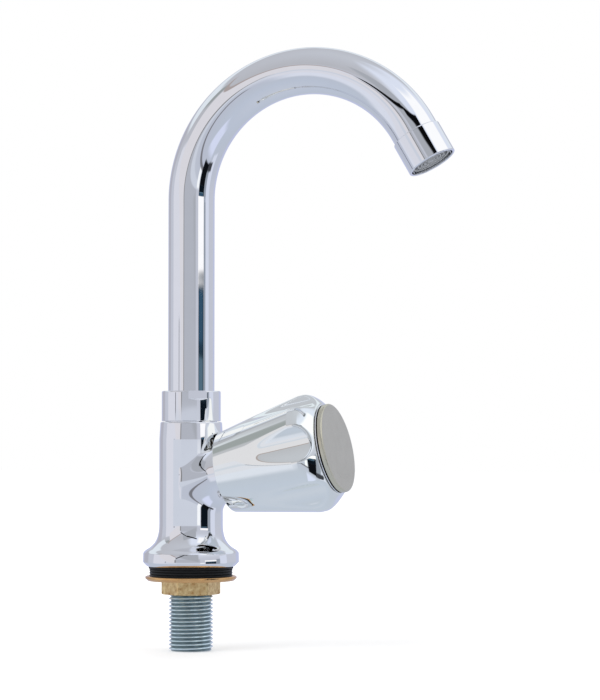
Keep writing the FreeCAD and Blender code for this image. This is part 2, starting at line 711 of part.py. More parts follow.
def spindle_o_rings():
    """The two O-rings that seal the spindle in the bonnet's neck."""
    centre_r = SPINDLE_R + RUNNING_CLEARANCE / 2 - SPINDLE_O_RING_R
    rings = [o_ring(centre_r, SPINDLE_O_RING_R, z) for z in SPINDLE_SEALS]
    return on_knob_axis(Part.makeCompound(rings))


def spindle_circlip():
    """Open spring ring that stops the spindle from being pushed in."""
    clip_r = SPINDLE_R - CLIP_DEPTH
    clip = ring(clip_r, clip_r + CLIP_WIDTH, CLIP_FOOT, CLIP_FOOT + CLIP_THICK)
    corner = FreeCAD.Vector(0, -CLIP_OPENING / 2, CLIP_FOOT)
    opening = Part.makeBox(clip_r + CLIP_WIDTH, CLIP_OPENING, CLIP_THICK, corner)
    return on_knob_axis(clip.cut(opening))


def thrust_washer():
    """Low-friction washer between the spindle's collar and the neck."""
    inner_r = SPINDLE_R + RUNNING_CLEARANCE
    low = COLLAR_S + SPINDLE_COLLAR_THICK
    return on_knob_axis(ring(inner_r, SPINDLE_COLLAR_R, low, low + THRUST_WASHER_THICK))


def valve_carrier():
    """Hexagonal carrier that the spindle's thread draws along the bonnet, with a round nose
    and a stud for the washer."""
    across = GUIDE_ACROSS_FLATS - 2 * GUIDE_CLEARANCE
    carrier = rod(CARRIER_NOSE_R, CARRIER_FOOT, CARRIER_FOOT + CARRIER_NOSE)
    carrier = carrier.fuse(
        [
            hexagon(across, CARRIER_FOOT + CARRIER_NOSE, CARRIER_TOP),
            rod(CARRIER_STUD_R, VALVE_FACE - VALVE_NUT_HEIGHT, CARRIER_FOOT),
        ]
    )
    bore = rod(SPINDLE_R + THREAD_CLEARANCE, CARRIER_FOOT + CARRIER_FLOOR, CARRIER_TOP)
    return on_knob_axis(carrier.cut(bore))


def valve_washer():
    """Rubber washer that closes on the seat."""
    inner_r = CARRIER_STUD_R + THREAD_CLEARANCE
    return on_knob_axis(ring(inner_r, VALVE_WASHER_R, VALVE_FACE, CARRIER_FOOT))


def valve_washer_nut():
    """Small nut that holds the washer on the carrier's stud."""
    nut = hexagon(VALVE_NUT_ACROSS_FLATS, VALVE_FACE - VALVE_NUT_HEIGHT, VALVE_FACE)
    hole = rod(CARRIER_STUD_R + THREAD_CLEARANCE, VALVE_FACE - VALVE_NUT_HEIGHT, VALVE_FACE)
    return on_knob_axis(nut.cut(hole))


def flute_cutters(radius, high):
    """Bars parallel to the handle's axis that cut, or leave, the six flutes."""
    cutters = []
    for k in range(FLUTES):
        x, y = spot(FLUTE_CENTRE_R, FLUTE_TURN + FULL_TURN * k / FLUTES)
        cutters.append(rod(radius, KNOB_RIM_S, high, x, y))
    return cutters


def skirt_pocket():
    """The hollow of the knob's skirt, which keeps an even wall behind cone and flutes."""
    pocket = revolved(
        (0, KNOB_RIM_S),
        (KNOB_RIM_R - KNOB_WALL, KNOB_RIM_S),
        (KNOB_MAX_R - KNOB_WALL, BAND_S),
        (KNOB_MAX_R - KNOB_WALL, WEB_FOOT),
        (0, WEB_FOOT),
    )
    return pocket.cut(flute_cutters(FLUTE_R + KNOB_WALL, WEB_FOOT))


def handle_knob():
    """Flared knob with an open skirt, six flutes, a splined hub and a recess for its cap."""
    rim = (KNOB_RIM_R, KNOB_RIM_S)
    band = (KNOB_MAX_R, BAND_S)
    shoulder = (KNOB_MAX_R, SHOULDER_S)
    blank = revolved(
        (0, KNOB_RIM_S),
        *rounded((0, KNOB_RIM_S), rim, band, KNOB_RIM_ROUND),
        *rounded(rim, band, shoulder, KNOB_BAND_ROUND),
        shoulder,
        (
            (KNOB_MAX_R, SHOULDER_S + 0.4 * KNOB_SHOULDER_LENGTH),
            ((KNOB_MAX_R + KNOB_END_R) / 2, KNOB_END_S - 0.25 * KNOB_SHOULDER_LENGTH),
            (KNOB_END_R, KNOB_END_S),
        ),
        (0, KNOB_END_S),
    )
    hollows = flute_cutters(FLUTE_R, KNOB_END_S)
    hollows.append(skirt_pocket())
    hollows.append(rod(CAP_SKIRT_R + CAP_EASE, WEB_TOP, KNOB_END_S))
    hollows.append(rod(SCREW_R + SCREW_HOLE_EASE, WEB_FOOT, WEB_TOP))
    hub = ring(INSERT_R + SPLINE_CLEARANCE, HUB_R, HUB_FOOT, WEB_FOOT)
    return on_knob_axis(blank.cut(hollows).fuse(hub).removeSplitter())


def handle_insert():
    """Brass bush in the knob's hub with internal spline teeth."""
    bush = rod(INSERT_R, HUB_FOOT, WEB_FOOT)
    return on_knob_axis(bush.cut(splined(SPINDLE_R + SPLINE_CLEARANCE, HUB_FOOT, WEB_FOOT)))


def handle_screw():
    """Pan-head screw with a cross recess that holds the knob on the spindle."""
    head_top = WEB_TOP + SCREW_HEAD_HEIGHT
    screw = revolved(
        (0, SPINDLE_TOP - SCREW_GRIP),
        (SCREW_R, SPINDLE_TOP - SCREW_GRIP),
        (SCREW_R, WEB_TOP),
        (SCREW_HEAD_R, WEB_TOP),
        *rounded((SCREW_HEAD_R, WEB_TOP), (SCREW_HEAD_R, head_top), (0, head_top), SCREW_HEAD_R / 4),
        (0, head_top),
    )
    slots = []
    for length, width in ((SCREW_HEAD_R, SCREW_HEAD_R / 4), (SCREW_HEAD_R / 4, SCREW_HEAD_R)):
        corner = FreeCAD.Vector(-length / 2, -width / 2, WEB_TOP + SCREW_HEAD_HEIGHT / 3)
        slots.append(Part.makeBox(length, width, SCREW_HEAD_HEIGHT, corner))
    return on_knob_axis(screw.cut(slots))


def handle_cap():
    """Thick satin cap with a short skirt that snaps into the knob's recess."""
    top = CAP_FOOT + CAP_THICK
    inner_r = CAP_SKIRT_R - CAP_SKIRT_WALL
    cap = revolved(
        (0, CAP_FOOT),
        (inner_r, CAP_FOOT),
        (inner_r, WEB_TOP + CAP_EASE),
        (CAP_SKIRT_R, WEB_TOP + CAP_EASE),
        (CAP_SKIRT_R, CAP_FOOT),
        (CAP_R, CAP_FOOT),
        *rounded((CAP_R, CAP_FOOT), (CAP_R, top), (0, top), CAP_EDGE_ROUND),
        (0, top),
    )
    return on_knob_axis(cap)


def cap_ring():
    """Plated ring between the knob and its cap, grooved above and below."""
    inner_r = CAP_SKIRT_R + CAP_EASE
    groove_r = CAP_RING_R - CAP_GROOVE_DEPTH
    low, high = KNOB_END_S, CAP_FOOT
    trim = revolved(
        (inner_r, low),
        (groove_r, low),
        (groove_r, low + CAP_GROOVE),
        (CAP_RING_R, low + CAP_GROOVE),
        (CAP_RING_R, high - CAP_GROOVE),
        (groove_r, high - CAP_GROOVE),
        (groove_r, high),
        (inner_r, high),
    )
    return on_knob_axis(trim)


NODES = {
    "body_casting": body_casting,
    "threaded_shank": threaded_shank,
    "shank_seal": shank_seal,
    "base_gasket": base_gasket,
    "spout_collar_nut": spout_collar_nut,
    "spout_bearing_ring": spout_bearing_ring,
    "headwork_bonnet": headwork_bonnet,
    "bonnet_washer": bonnet_washer,
    "clamp_washer": clamp_washer,
    "backnut": backnut,
    "spout_tube": spout_tube,
    "spout_tail": spout_tail,
    "spout_o_rings": spout_o_rings,
    "aerator_shell": aerator_shell,
    "aerator_washer": aerator_washer,
    "aerator_jet_disc": aerator_jet_disc,
    "aerator_cage": aerator_cage,
    "aerator_mesh": aerator_mesh,
    "handle_knob": handle_knob,
    "handle_insert": handle_insert,
    "handle_screw": handle_screw,
    "handle_cap": handle_cap,
    "cap_ring": cap_ring,
    "spindle": spindle,
    "spindle_o_rings": spindle_o_rings,
    "spindle_circlip": spindle_circlip,
    "thrust_washer": thrust_washer,
    "valve_carrier": valve_carrier,
    "valve_washer": valve_washer,
    "valve_washer_nut": valve_washer_nut,
}


def main():
    os.makedirs("parts", exist_ok=True)
    for name, make in NODES.items():
        shape = make()
        shape.exportStep(os.path.join("parts", name + ".step"))
        print(name, len(shape.Solids), shape.isValid(), round(shape.Volume, 1))


main()
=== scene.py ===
# %% [markdown]
# # A chrome pillar tap
#
# This file dresses the construction model of a pillar tap. The construction model holds what
# fits and moves. Here each visible piece gets the smooth surface, the small roundings and the
# finish that a camera sees. All lengths below are in millimetres, as on a drawing, and are
# turned into metres when a mesh is made.

import json
import math

import bmesh
import bpy
import numpy as np
from mathutils import Matrix, Vector

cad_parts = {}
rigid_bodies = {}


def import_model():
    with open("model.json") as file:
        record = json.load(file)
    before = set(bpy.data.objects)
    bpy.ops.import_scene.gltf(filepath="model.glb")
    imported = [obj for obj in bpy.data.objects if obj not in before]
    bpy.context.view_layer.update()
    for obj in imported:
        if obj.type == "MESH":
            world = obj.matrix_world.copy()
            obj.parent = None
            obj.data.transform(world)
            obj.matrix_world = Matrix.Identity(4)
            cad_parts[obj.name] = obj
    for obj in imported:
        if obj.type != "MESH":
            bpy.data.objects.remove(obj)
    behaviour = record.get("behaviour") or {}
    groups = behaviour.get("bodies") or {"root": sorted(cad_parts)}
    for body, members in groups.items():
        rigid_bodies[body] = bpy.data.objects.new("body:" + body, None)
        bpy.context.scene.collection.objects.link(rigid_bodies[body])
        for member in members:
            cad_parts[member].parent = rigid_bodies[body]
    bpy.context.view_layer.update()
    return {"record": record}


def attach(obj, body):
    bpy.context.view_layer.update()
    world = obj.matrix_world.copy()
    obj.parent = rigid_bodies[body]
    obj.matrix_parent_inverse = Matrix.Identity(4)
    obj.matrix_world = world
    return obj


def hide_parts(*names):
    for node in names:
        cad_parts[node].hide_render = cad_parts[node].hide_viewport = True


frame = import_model()
MM = 0.001

# %% [markdown]
# ## The camera
#
# The tap was photographed from its front left, from a little above the flange, and the spout
# was above the lens. The camera stands on a circle around the pillar. It is aimed by a heading
# and a slight upward pitch, so no lens shift is needed. Its side of the tap is called the front
# from here on, also for the lamps.

# %% Camera
CAMERA_AROUND = math.radians(22.29)
CAMERA_DISTANCE = 1172.2
CAMERA_HEIGHT = 60.05
CAMERA_HEADING = math.radians(19.76)
CAMERA_PITCH = math.radians(2.08)
LENS = 126.53
FRONT = Vector((math.sin(CAMERA_AROUND), -math.cos(CAMERA_AROUND), 0))
RIGHT = Vector((math.cos(CAMERA_AROUND), math.sin(CAMERA_AROUND), 0))
UP = Vector((0, 0, 1))


def add_object(name, data):
    """Puts an object with this mesh, camera or light into the scene."""
    piece = bpy.data.objects.new(name, data)
    bpy.context.scene.collection.objects.link(piece)
    return piece


def place_camera():
    """Puts the camera on its circle and aims it."""
    lens = bpy.data.cameras.new("camera")
    lens.lens = LENS
    lens.clip_start = 0.01
    camera = add_object("camera", lens)
    camera.location = (FRONT * CAMERA_DISTANCE + UP * CAMERA_HEIGHT) * MM
    camera.rotation_euler = (math.pi / 2 + CAMERA_PITCH, 0, CAMERA_HEADING)
    bpy.context.scene.camera = camera
    return camera


camera = place_camera()
print("camera at", [round(c, 4) for c in camera.location])

# %% [markdown]
# ## Wires and nodes
#
# A finish is a network of nodes. Written out by hand it is hard to read, so one small class
# stands for the output of a node. Arithmetic on two of them adds a Math node. One method adds
# any other node: it takes the node's type, its settings and what goes into its sockets.

# %% Wire and Network
def operator(operation, reflected=False):
    """A method of Wire that adds a Math node. Reflected, it takes the other value first."""

    def method(self, other):
        values = (other, self) if reflected else (self, other)
        return self.network.maths(operation, *values)

    return method


class Wire:
    """The output of a node. Sums and products of wires become Math nodes."""

    def __init__(self, network, socket):
        self.network = network
        self.socket = socket

    __add__, __radd__ = operator("ADD"), operator("ADD", reflected=True)
    __sub__, __rsub__ = operator("SUBTRACT"), operator("SUBTRACT", reflected=True)
    __mul__, __rmul__ = operator("MULTIPLY"), operator("MULTIPLY", reflected=True)
    __truediv__, __rtruediv__ = operator("DIVIDE"), operator("DIVIDE", reflected=True)


class Network:
    """The nodes of a material, of the world or of a modifier."""

    def __init__(self, tree):
        self.tree = tree

    def node(self, kind, settings=None, inputs=(), output=0):
        """Adds a node. Inputs are a list in socket order or a dictionary by socket name.

        A list among them links several wires to one socket. With output=None the result is
        a dictionary of all the node's outputs.
        """
        node = self.tree.nodes.new(kind)
        for key, value in (settings or {}).items():
            if key == "stops":
                self._set_stops(node.color_ramp, value)
            else:
                setattr(node, key, value)
        pairs = inputs.items() if isinstance(inputs, dict) else enumerate(inputs)
        for key, value in pairs:
            if isinstance(value, (Wire, list)):
                for wire in value if isinstance(value, list) else [value]:
                    self.tree.links.new(wire.socket, node.inputs[key])
            elif value is not None:
                node.inputs[key].default_value = value
        if output is None:
            return {socket.name: Wire(self, socket) for socket in node.outputs}
        return Wire(self, node.outputs[output]) if node.outputs else None

    @staticmethod
    def _set_stops(ramp, stops):
        while len(ramp.elements) < len(stops):
            ramp.elements.new(1.0)
        for element, (place, level) in zip(ramp.elements, stops):
            element.position = place
            element.color = (*level, 1) if isinstance(level, tuple) else (level, level, level, 1)

    def maths(self, operation, *values):
        """Adds a Math node."""
        return self.node("ShaderNodeMath", {"operation": operation}, values)

    def vector_maths(self, operation, *values, output=0):
        """Adds a Vector Math node. Output 1 is a plain number, such as a length."""
        return self.node("ShaderNodeVectorMath", {"operation": operation}, values, output)


# %% [markdown]
# ## Meshes from profiles
#
# Most pieces of a tap are turned on a lathe, and the spout is a lathe form along a bent line.
# So one helper makes them all: it takes a closed profile of (radius, distance along) corners
# and carries it around a line. Chrome shows every edge, so each corner of a profile may name
# a small rounding. A point is added just beside each of its ends, which keeps the shading of
# the flat sides flat.

# %% Profile helpers
HOLD = 0.12


def unit(vector):
    """A vector of length one."""
    return vector / np.linalg.norm(vector)


def rounded(corners, steps=5, hold=HOLD):
    """A closed profile. A corner is (radius, along) or (radius, along, rounding)."""
    points = []
    for index, corner in enumerate(corners):
        here = np.array(corner[:2], float)
        if len(corner) < 3:
            points.append(here)
            continue
        rounding = corner[2]
        before = unit(np.array(corners[index - 1][:2], float) - here)
        after = unit(np.array(corners[(index + 1) % len(corners)][:2], float) - here)
        half = 0.5 * math.acos(np.clip(before @ after, -1, 1))
        reach = rounding / math.tan(half)
        middle = here + unit(before + after) * (rounding / math.sin(half))
        first = here + before * reach - middle
        last = here + after * reach - middle
        sweep = math.acos(np.clip(first @ last / rounding**2, -1, 1))
        points.append(here + before * (reach + hold))
        for step in range(steps + 1):
            share = step / steps
            arc = first * math.sin((1 - share) * sweep) + last * math.sin(share * sweep)
            points.append(middle + arc / math.sin(sweep))
        points.append(here + after * (reach + hold))
    return np.array(points)


def spread(profile, longest):
    """The profile with its long sides divided, for the stretches that follow a bend."""
    points = []
    for here, there in zip(profile, np.roll(profile, -1, axis=0)):
        pieces = max(1, math.ceil(np.linalg.norm(there - here) / longest))
        points += [here + (there - here) * step / pieces for step in range(pieces)]
    return np.array(points)


def straight(origin, direction):
    """A straight line to carry a profile around: centres and normals by distance along."""
    origin = np.array(origin, float)
    along = np.array(direction, float)
    side = np.array([along[2], 0.0, -along[0]])

    def line(distance):
        return origin + distance[:, None] * along, np.tile(side, (len(distance), 1))

    return line


# %% Lathe
ACROSS = np.array([0.0, 1.0, 0.0])
PILLAR = straight((0, 0, 0), UP)


def angles(count):
    """Equal steps of a whole turn."""
    return np.linspace(0, 2 * np.pi, count, endpoint=False)


def grid_faces(rows, columns):
    """Quads of a grid that closes on itself both ways."""
    row, column = np.meshgrid(np.arange(rows), np.arange(columns), indexing="ij")
    here, there = row * columns, (row + 1) % rows * columns
    beside = (column + 1) % columns
    corners = [here + column, here + beside, there + beside, there + column]
    return np.stack(corners, axis=-1).reshape(-1, 4)


def lathe(profile, line, count=160, radii=None):
    """Points and faces of a profile carried around a line. Radii may differ by angle."""
    centre, side = line(profile[:, 1])
    angle = angles(count)[None, :, None]
    radius = profile[:, 0][:, None, None] if radii is None else radii[:, :, None]
    ring = np.cos(angle) * side[:, None, :] + np.sin(angle) * ACROSS
    points = centre[:, None, :] + radius * ring
    return points.reshape(-1, 3), grid_faces(len(profile), count)


def make_mesh(name, points, faces, sharp=40.0):
    """An object from points in millimetres, merged, closed, with normals outwards."""
    form = bmesh.new()
    vertices = [form.verts.new(Vector(point) * MM) for point in points]
    for face in faces:
        form.faces.new([vertices[index] for index in face])
    bmesh.ops.remove_doubles(form, verts=form.verts, dist=1e-6)
    bmesh.ops.dissolve_degenerate(form, edges=form.edges, dist=1e-7)
    lone = [edge for edge in form.edges if not edge.link_faces]
    bmesh.ops.delete(form, geom=lone, context="EDGES")
    bmesh.ops.recalc_face_normals(form, faces=form.faces)
    mesh = bpy.data.meshes.new(name)
    form.to_mesh(mesh)
    form.free()
    mesh.shade_smooth()
    mesh.set_sharp_from_angle(angle=math.radians(sharp))
    return add_object(name, mesh)


# %% [markdown]
# A finished piece takes the place of a construction node and rides on the body that the node
# belongs to. Its mesh is checked as it is dressed: an edge without two faces would be a hole.

# %% Dressing
def turned(name, corners, line, count=160, **rounding):
    """An object made by carrying rounded corners around a line."""
    return make_mesh(name, *lathe(rounded(corners, **rounding), line, count))


dressed = set()


def open_edges(piece):
    """How many edges of a piece don't have two faces. Zero means that it is closed."""
    form = bmesh.new()
    form.from_mesh(piece.data)
    loose = sum(1 for edge in form.edges if len(edge.link_faces) != 2)
    form.free()
    return loose


def dress(piece, node, finish, body):
    """Gives a piece its finish and its body, and lets it stand for a construction node."""
    piece.data.materials.clear()
    piece.data.materials.append(finish)
    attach(piece, body)
    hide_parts(node)
    dressed.add(node)
    print(piece.name, "faces:", len(piece.data.polygons), "open edges:", open_edges(piece))


# %% [markdown]
# ## Mirror chrome
#
# Chrome plate is a mirror with almost no colour of its own, so its look is the room's. What
# tells it from a perfect mirror is small: polishing leaves the surface very slightly wavy, and
# hands and wiping leave it unevenly bright. Both are noise patterns here, a broad one that
# bends the reflections and a fine one that changes the gloss.

# %% Chrome
MIRROR = 0.88


def new_finish(name):
    """An empty material and its network."""
    material = bpy.data.materials.new(name)
    material.use_nodes = True
    material.node_tree.nodes.clear()
    return material, Network(material.node_tree)


def place(net, centre=(0, 0, 0), turn=(0, 0, 0)):
    """Object coordinates, measured from a centre and turned with a piece."""
    inputs = {"Vector": net.node("ShaderNodeTexCoord", output="Object"),
              "Location": centre, "Rotation": turn}
    return net.node("ShaderNodeMapping", {"vector_type": "TEXTURE"}, inputs)


def noise(net, vector, scale, detail=2.0, roughness=0.5):
    """A noise value between 0 and 1. The scale is in patches per metre."""
    inputs = {"Vector": vector, "Scale": scale, "Detail": detail, "Roughness": roughness}
    return net.node("ShaderNodeTexNoise", None, inputs)


def blend_colours(net, share, first, second):
    """A colour between two others."""
    first, second = [
        colour if isinstance(colour, Wire) else (*colour, 1) for colour in (first, second)
    ]
    return net.node("ShaderNodeMix", {"data_type": "RGBA"}, {0: share, 6: first, 7: second}, 2)


def ramp(net, value, stops):
    """A value run through a curve of straight pieces."""
    return net.node("ShaderNodeValToRGB", {"stops": stops}, {"Fac": value})


def bump(net, height, distance):
    """A normal bent by a height pattern. The distance is in millimetres."""
    inputs = {"Strength": 1.0, "Distance": distance * MM, "Height": height}
    return net.node("ShaderNodeBump", None, inputs)


def surface(net, colour, roughness, metallic=1.0, normal=None, **more):
    """The shader itself and the material's output."""
    inputs = {"Base Color": colour, "Roughness": roughness, "Metallic": metallic,
              "Normal": normal, **more}
    shader = net.node("ShaderNodeBsdfPrincipled", None, inputs)
    net.node("ShaderNodeOutputMaterial", None, {"Surface": shader})


def chrome_finish(name, shade, dull=0.015, wave=0.075):
    """Mirror plate with slight waves and uneven gloss."""
    material, net = new_finish(name)
    spot = place(net)
    broad = noise(net, spot, 45.0, detail=1.0)
    smears = noise(net, spot, 160.0, detail=4.0, roughness=0.6)
    gloss = ramp(net, smears, [(0.35, dull), (0.75, dull + 0.02)])
    tint = blend_colours(net, smears, shade, [0.96 * level for level in shade])
    surface(net, tint, gloss, normal=bump(net, broad, wave))
    return material


CHROME = (MIRROR, MIRROR, 0.89)
plate = chrome_finish("mirror_chrome", CHROME)
knob_plate = chrome_finish("knob_chrome", (0.94, 0.955, 0.92), dull=0.03, wave=0.1)
print("chrome finishes:", plate.name, knob_plate.name)

# %% [markdown]
# ## The spout
#
# The spout is a 22 mm tube: a riser, a bend of 150 degrees and a short straight end that the
# aerator's sleeve screws over. Its ends are real walls, not a closed bar. The line below gives
# the tube's centre for any distance along it, and the same lathe carries the profile around.

# %% Spout line
TUBE_FOOT = 81.45
RISER = 92.4
BEND_RADIUS = 59.3
BEND = math.radians(150)
BEND_FOOT = TUBE_FOOT + RISER
BEND_END = BEND_FOOT + BEND_RADIUS * BEND


def swan_neck(height):
    """Centre and inward normal of the spout. Up to the bend, the distance is the height."""
    turn = np.clip((height - BEND_FOOT) / BEND_RADIUS, 0, BEND)
    before = np.minimum(height, BEND_FOOT)
    after = np.maximum(height - BEND_END, 0)
    level = np.zeros_like(turn)
    x = BEND_RADIUS * (1 - np.cos(turn)) + after * math.sin(BEND)
    z = before + BEND_RADIUS * np.sin(turn) + after * math.cos(BEND)
    normal = np.stack([np.cos(turn), level, -np.sin(turn)], axis=1)
    return np.stack([x, level, z], axis=1), normal


# %% Spout tube
TUBE_R = 11.0
TUBE_BORE_R = 9.5
TUBE_THREAD_R = 10.45
SLEEVE_START = BEND_END + 3.0
TUBE_MOUTH = SLEEVE_START + 6.5
STRETCH = 1.6

tube_profile = rounded([
    (TUBE_BORE_R, TUBE_FOOT), (TUBE_R, TUBE_FOOT), (TUBE_R, SLEEVE_START, 0.25),
    (TUBE_THREAD_R, SLEEVE_START), (TUBE_THREAD_R, TUBE_MOUTH), (TUBE_BORE_R, TUBE_MOUTH),
])
tube = make_mesh("spout_tube_bent", *lathe(spread(tube_profile, STRETCH), swan_neck, 128))
dress(tube, "spout_tube", plate, "spout")

# %% [markdown]
# The collar nut holds the spout down. It is round, with two spanner flats milled into its rim.
# The flats are worked out as a limit on the radius, so their feet slope out as the cutter left
# them.

# %% Spout collar
COLLAR_R = 14.0
COLLAR_FOOT = 68.65
COLLAR_TOP = 83.0
COLLAR_BORE_R = 12.25
COLLAR_LIP = 81.6
LIP_R = 11.2
FLAT_TURN = math.radians(-54.5)
FLAT_FACE = 13.2
FLAT_FOOT = 79.4


def spanner_flats(profile, angle):
    """The collar's radii: two flats at its rim, whose feet slope out at 45 degrees."""
    turn = np.mod(angle - FLAT_TURN + np.pi / 2, np.pi) - np.pi / 2
    face = FLAT_FACE + np.maximum(FLAT_FOOT - profile[:, 1], 0)
    return np.minimum(profile[:, :1], face[:, None] / np.cos(turn)[None, :])


collar_profile = rounded([
    (COLLAR_BORE_R, COLLAR_FOOT), (COLLAR_R, COLLAR_FOOT, 0.3),
    *[(COLLAR_R, height) for height in np.arange(78.5, 79.75, 0.1)],
    (COLLAR_R, COLLAR_TOP, 0.7), (LIP_R, COLLAR_TOP, 0.25),
    (LIP_R, COLLAR_LIP), (COLLAR_BORE_R, COLLAR_LIP),
])
collar_radii = spanner_flats(collar_profile, angles(360))
collar = make_mesh("spout_collar", *lathe(collar_profile, PILLAR, 360, collar_radii))
dress(collar, "spout_collar_nut", plate, "tap_body")

# %% [markdown]
# ## The aerator
#
# A plated sleeve ends the spout. Its mouth has a thin bright rim, and just inside it sits a
# grey moulded cage whose underside is a grille of rings and spokes. The sleeve is a lathe form.
# The grille repeats, so Geometry Nodes make it from a few sizes.

# %% Aerator sleeve
SLEEVE_R = 11.75
SLEEVE_BORE_R = 10.5
SLEEVE_MOUTH_R = 10.55
LEDGE_R = 9.5
MOUTH = BEND_END + 18.5
LEDGE = BEND_END + 13.3

sleeve = turned("aerator_sleeve", [
    (SLEEVE_BORE_R, SLEEVE_START), (SLEEVE_R, SLEEVE_START, 0.35), (SLEEVE_R, MOUTH, 0.45),
    (SLEEVE_MOUTH_R, MOUTH, 0.3), (SLEEVE_MOUTH_R, LEDGE + 1.0), (LEDGE_R, LEDGE + 1.0),
    (LEDGE_R, LEDGE), (SLEEVE_BORE_R, LEDGE),
], swan_neck)
dress(sleeve, "aerator_shell", plate, "spout")

# %% [markdown]
# The tree for the grille is built once. Its inputs are named, so the same tree would make the
# grille of another aerator. Rings come from one circle that is copied onto a heap of points and
# grows with its number, spokes from one bar that is copied around.

# %% Growing a mesh
def new_tree(name, sizes):
    """A Geometry Nodes tree with a named input for each size and one for the finish."""
    tree = bpy.data.node_groups.new(name, "GeometryNodeTree")
    kinds = {size: "Int" if isinstance(value, int) else "Float" for size, value in sizes.items()}
    tree.interface.new_socket("Geometry", in_out="OUTPUT", socket_type="NodeSocketGeometry")
    for size, kind in {"Geometry": "Geometry", **kinds, "Finish": "Material"}.items():
        socket = tree.interface.new_socket(
            size, in_out="INPUT", socket_type="NodeSocket" + kind
        )
        if size in sizes:
            socket.default_value = sizes[size]
    net = Network(tree)
    return tree, net, net.node("NodeGroupInput", output=None)


def finish_tree(net, geometry, finish):
    """Ends a tree: real geometry instead of instances, and its finish."""
    real = net.node("GeometryNodeRealizeInstances", None, [geometry])
    done = net.node("GeometryNodeSetMaterial", None, {"Geometry": real, "Material": finish})
    net.node("NodeGroupOutput", None, [done])


def baked(piece):
    """A plain mesh of what a piece's modifiers make."""
    graph = bpy.context.evaluated_depsgraph_get()
    return bpy.data.meshes.new_from_object(piece.evaluated_get(graph))


def grow(name, tree, finish):
    """The tree's result as a plain mesh in an object at the origin."""
    seed = add_object(name + "_seed", bpy.data.meshes.new(name + "_seed"))
    modifier = seed.modifiers.new(name, "NODES")
    modifier.node_group = tree
    for item in tree.interface.items_tree:
        if item.name == "Finish":
            modifier[item.identifier] = finish
    mesh = baked(seed)
    mesh.name = name
    bpy.data.objects.remove(seed)
    return add_object(name, mesh)


# %% Grille tree
GRILLE = {"Rings": 4, "Spokes": 8, "Radius": 8.45 * MM, "Bar": 0.72 * MM,
          "Spoke": 0.36 * MM, "Thickness": 1.5 * MM}


def offset(net, x=0.0, y=0.0, z=0.0):
    """A vector from three values."""
    return net.node("ShaderNodeCombineXYZ", None, [x, y, z])


def copies(net, form, count, **change):
    """Copies of a form on a heap of points at the origin, each changed by its number."""
    places = {"Count": count, "Offset": (0.0, 0.0, 0.0)}
    heap = net.node("GeometryNodeMeshLine", {"mode": "OFFSET"}, places)
    inputs = {"Points": heap, "Instance": form, **change}
    return net.node("GeometryNodeInstanceOnPoints", None, inputs)


def grille_tree():
    """Rings and spokes in the XY plane, half of their thickness on each side of it."""
    tree, net, size = new_tree("aerator_grille", GRILLE)
    index = net.node("GeometryNodeInputIndex")
    thickness = size["Thickness"]
    circle = net.node("GeometryNodeCurvePrimitiveCircle", {"mode": "RADIUS"},
                      {"Resolution": 96, "Radius": 1.0})
    reach = (index + 1) * (size["Radius"] / (size["Rings"] + 1))
    grown = copies(net, circle, size["Rings"], Scale=offset(net, reach, reach, 1.0))
    section = net.node("GeometryNodeCurvePrimitiveQuadrilateral", {"mode": "RECTANGLE"},
                       {"Width": size["Bar"], "Height": thickness})
    rings = net.node("GeometryNodeCurveToMesh", None, {
        "Curve": net.node("GeometryNodeRealizeInstances", None, [grown]),
        "Profile Curve": section,
    })
    bar_size = offset(net, size["Radius"] * 2.0, size["Spoke"], thickness * 0.7)
    bar_form = net.node("GeometryNodeMeshCube", None, {"Size": bar_size})
    half = size["Spokes"] / 2.0
    turn = offset(net, z=index * (math.pi / half))
    spokes = copies(net, bar_form, half, Rotation=turn)
    hub = net.node("GeometryNodeMeshCylinder", None, {
        "Vertices": 32, "Radius": size["Bar"] * 1.7, "Depth": thickness * 1.1,
    })
    joined = net.node("GeometryNodeJoinGeometry", None, [[rings, spokes, hub]])
    finish_tree(net, joined, size["Finish"])
    return tree


# %% [markdown]
# The cage is moulded in grey plastic and the gasket further down in black rubber. Both are a
# little uneven in colour, duller where the stain is paler, and have a fine grain.

# %% Moulded finish
def moulded_finish(name, dark, light, rough, stains, detail, grain, height, **more):
    """Moulded plastic or rubber."""
    material, net = new_finish(name)
    spot = place(net)
    stain = noise(net, spot, stains, detail=detail)
    colour = blend_colours(net, stain, dark, light)
    dullness = ramp(net, stain, [(0.3, rough[0]), (0.7, rough[1])])
    surface(net, colour, dullness, 0.0, bump(net, noise(net, spot, grain), height), **more)
    return material


moulding = moulded_finish(
    "grey_moulding", (0.32, 0.34, 0.36), (0.46, 0.48, 0.51), (0.32, 0.5),
    stains=500.0, detail=3.0, grain=4000.0, height=0.02,
)
grille = grow("aerator_grille", grille_tree(), moulding)
print("grille faces:", len(grille.data.polygons))

# %% Cage
CAGE_TOP = BEND_END + 11.8
CAGE_MOUTH = BEND_END + 17.4
CAGE_FLANGE_R = 10.4
CAGE_SKIRT_R = 9.4
CAGE_INNER_R = 8.5
GRILLE_DEPTH = 0.85

cage = turned("aerator_moulding", [
    (CAGE_INNER_R, CAGE_TOP), (CAGE_FLANGE_R, CAGE_TOP), (CAGE_FLANGE_R, LEDGE),
    (CAGE_SKIRT_R, LEDGE), (CAGE_SKIRT_R, CAGE_MOUTH, 0.2), (CAGE_INNER_R, CAGE_MOUTH, 0.2),
], swan_neck, 128)


def add_to(piece, other):
    """Adds another piece's mesh to a piece."""
    form = bmesh.new()
    form.from_mesh(piece.data)
    form.from_mesh(other.data)
    form.to_mesh(piece.data)
    form.free()
    bpy.data.objects.remove(other)


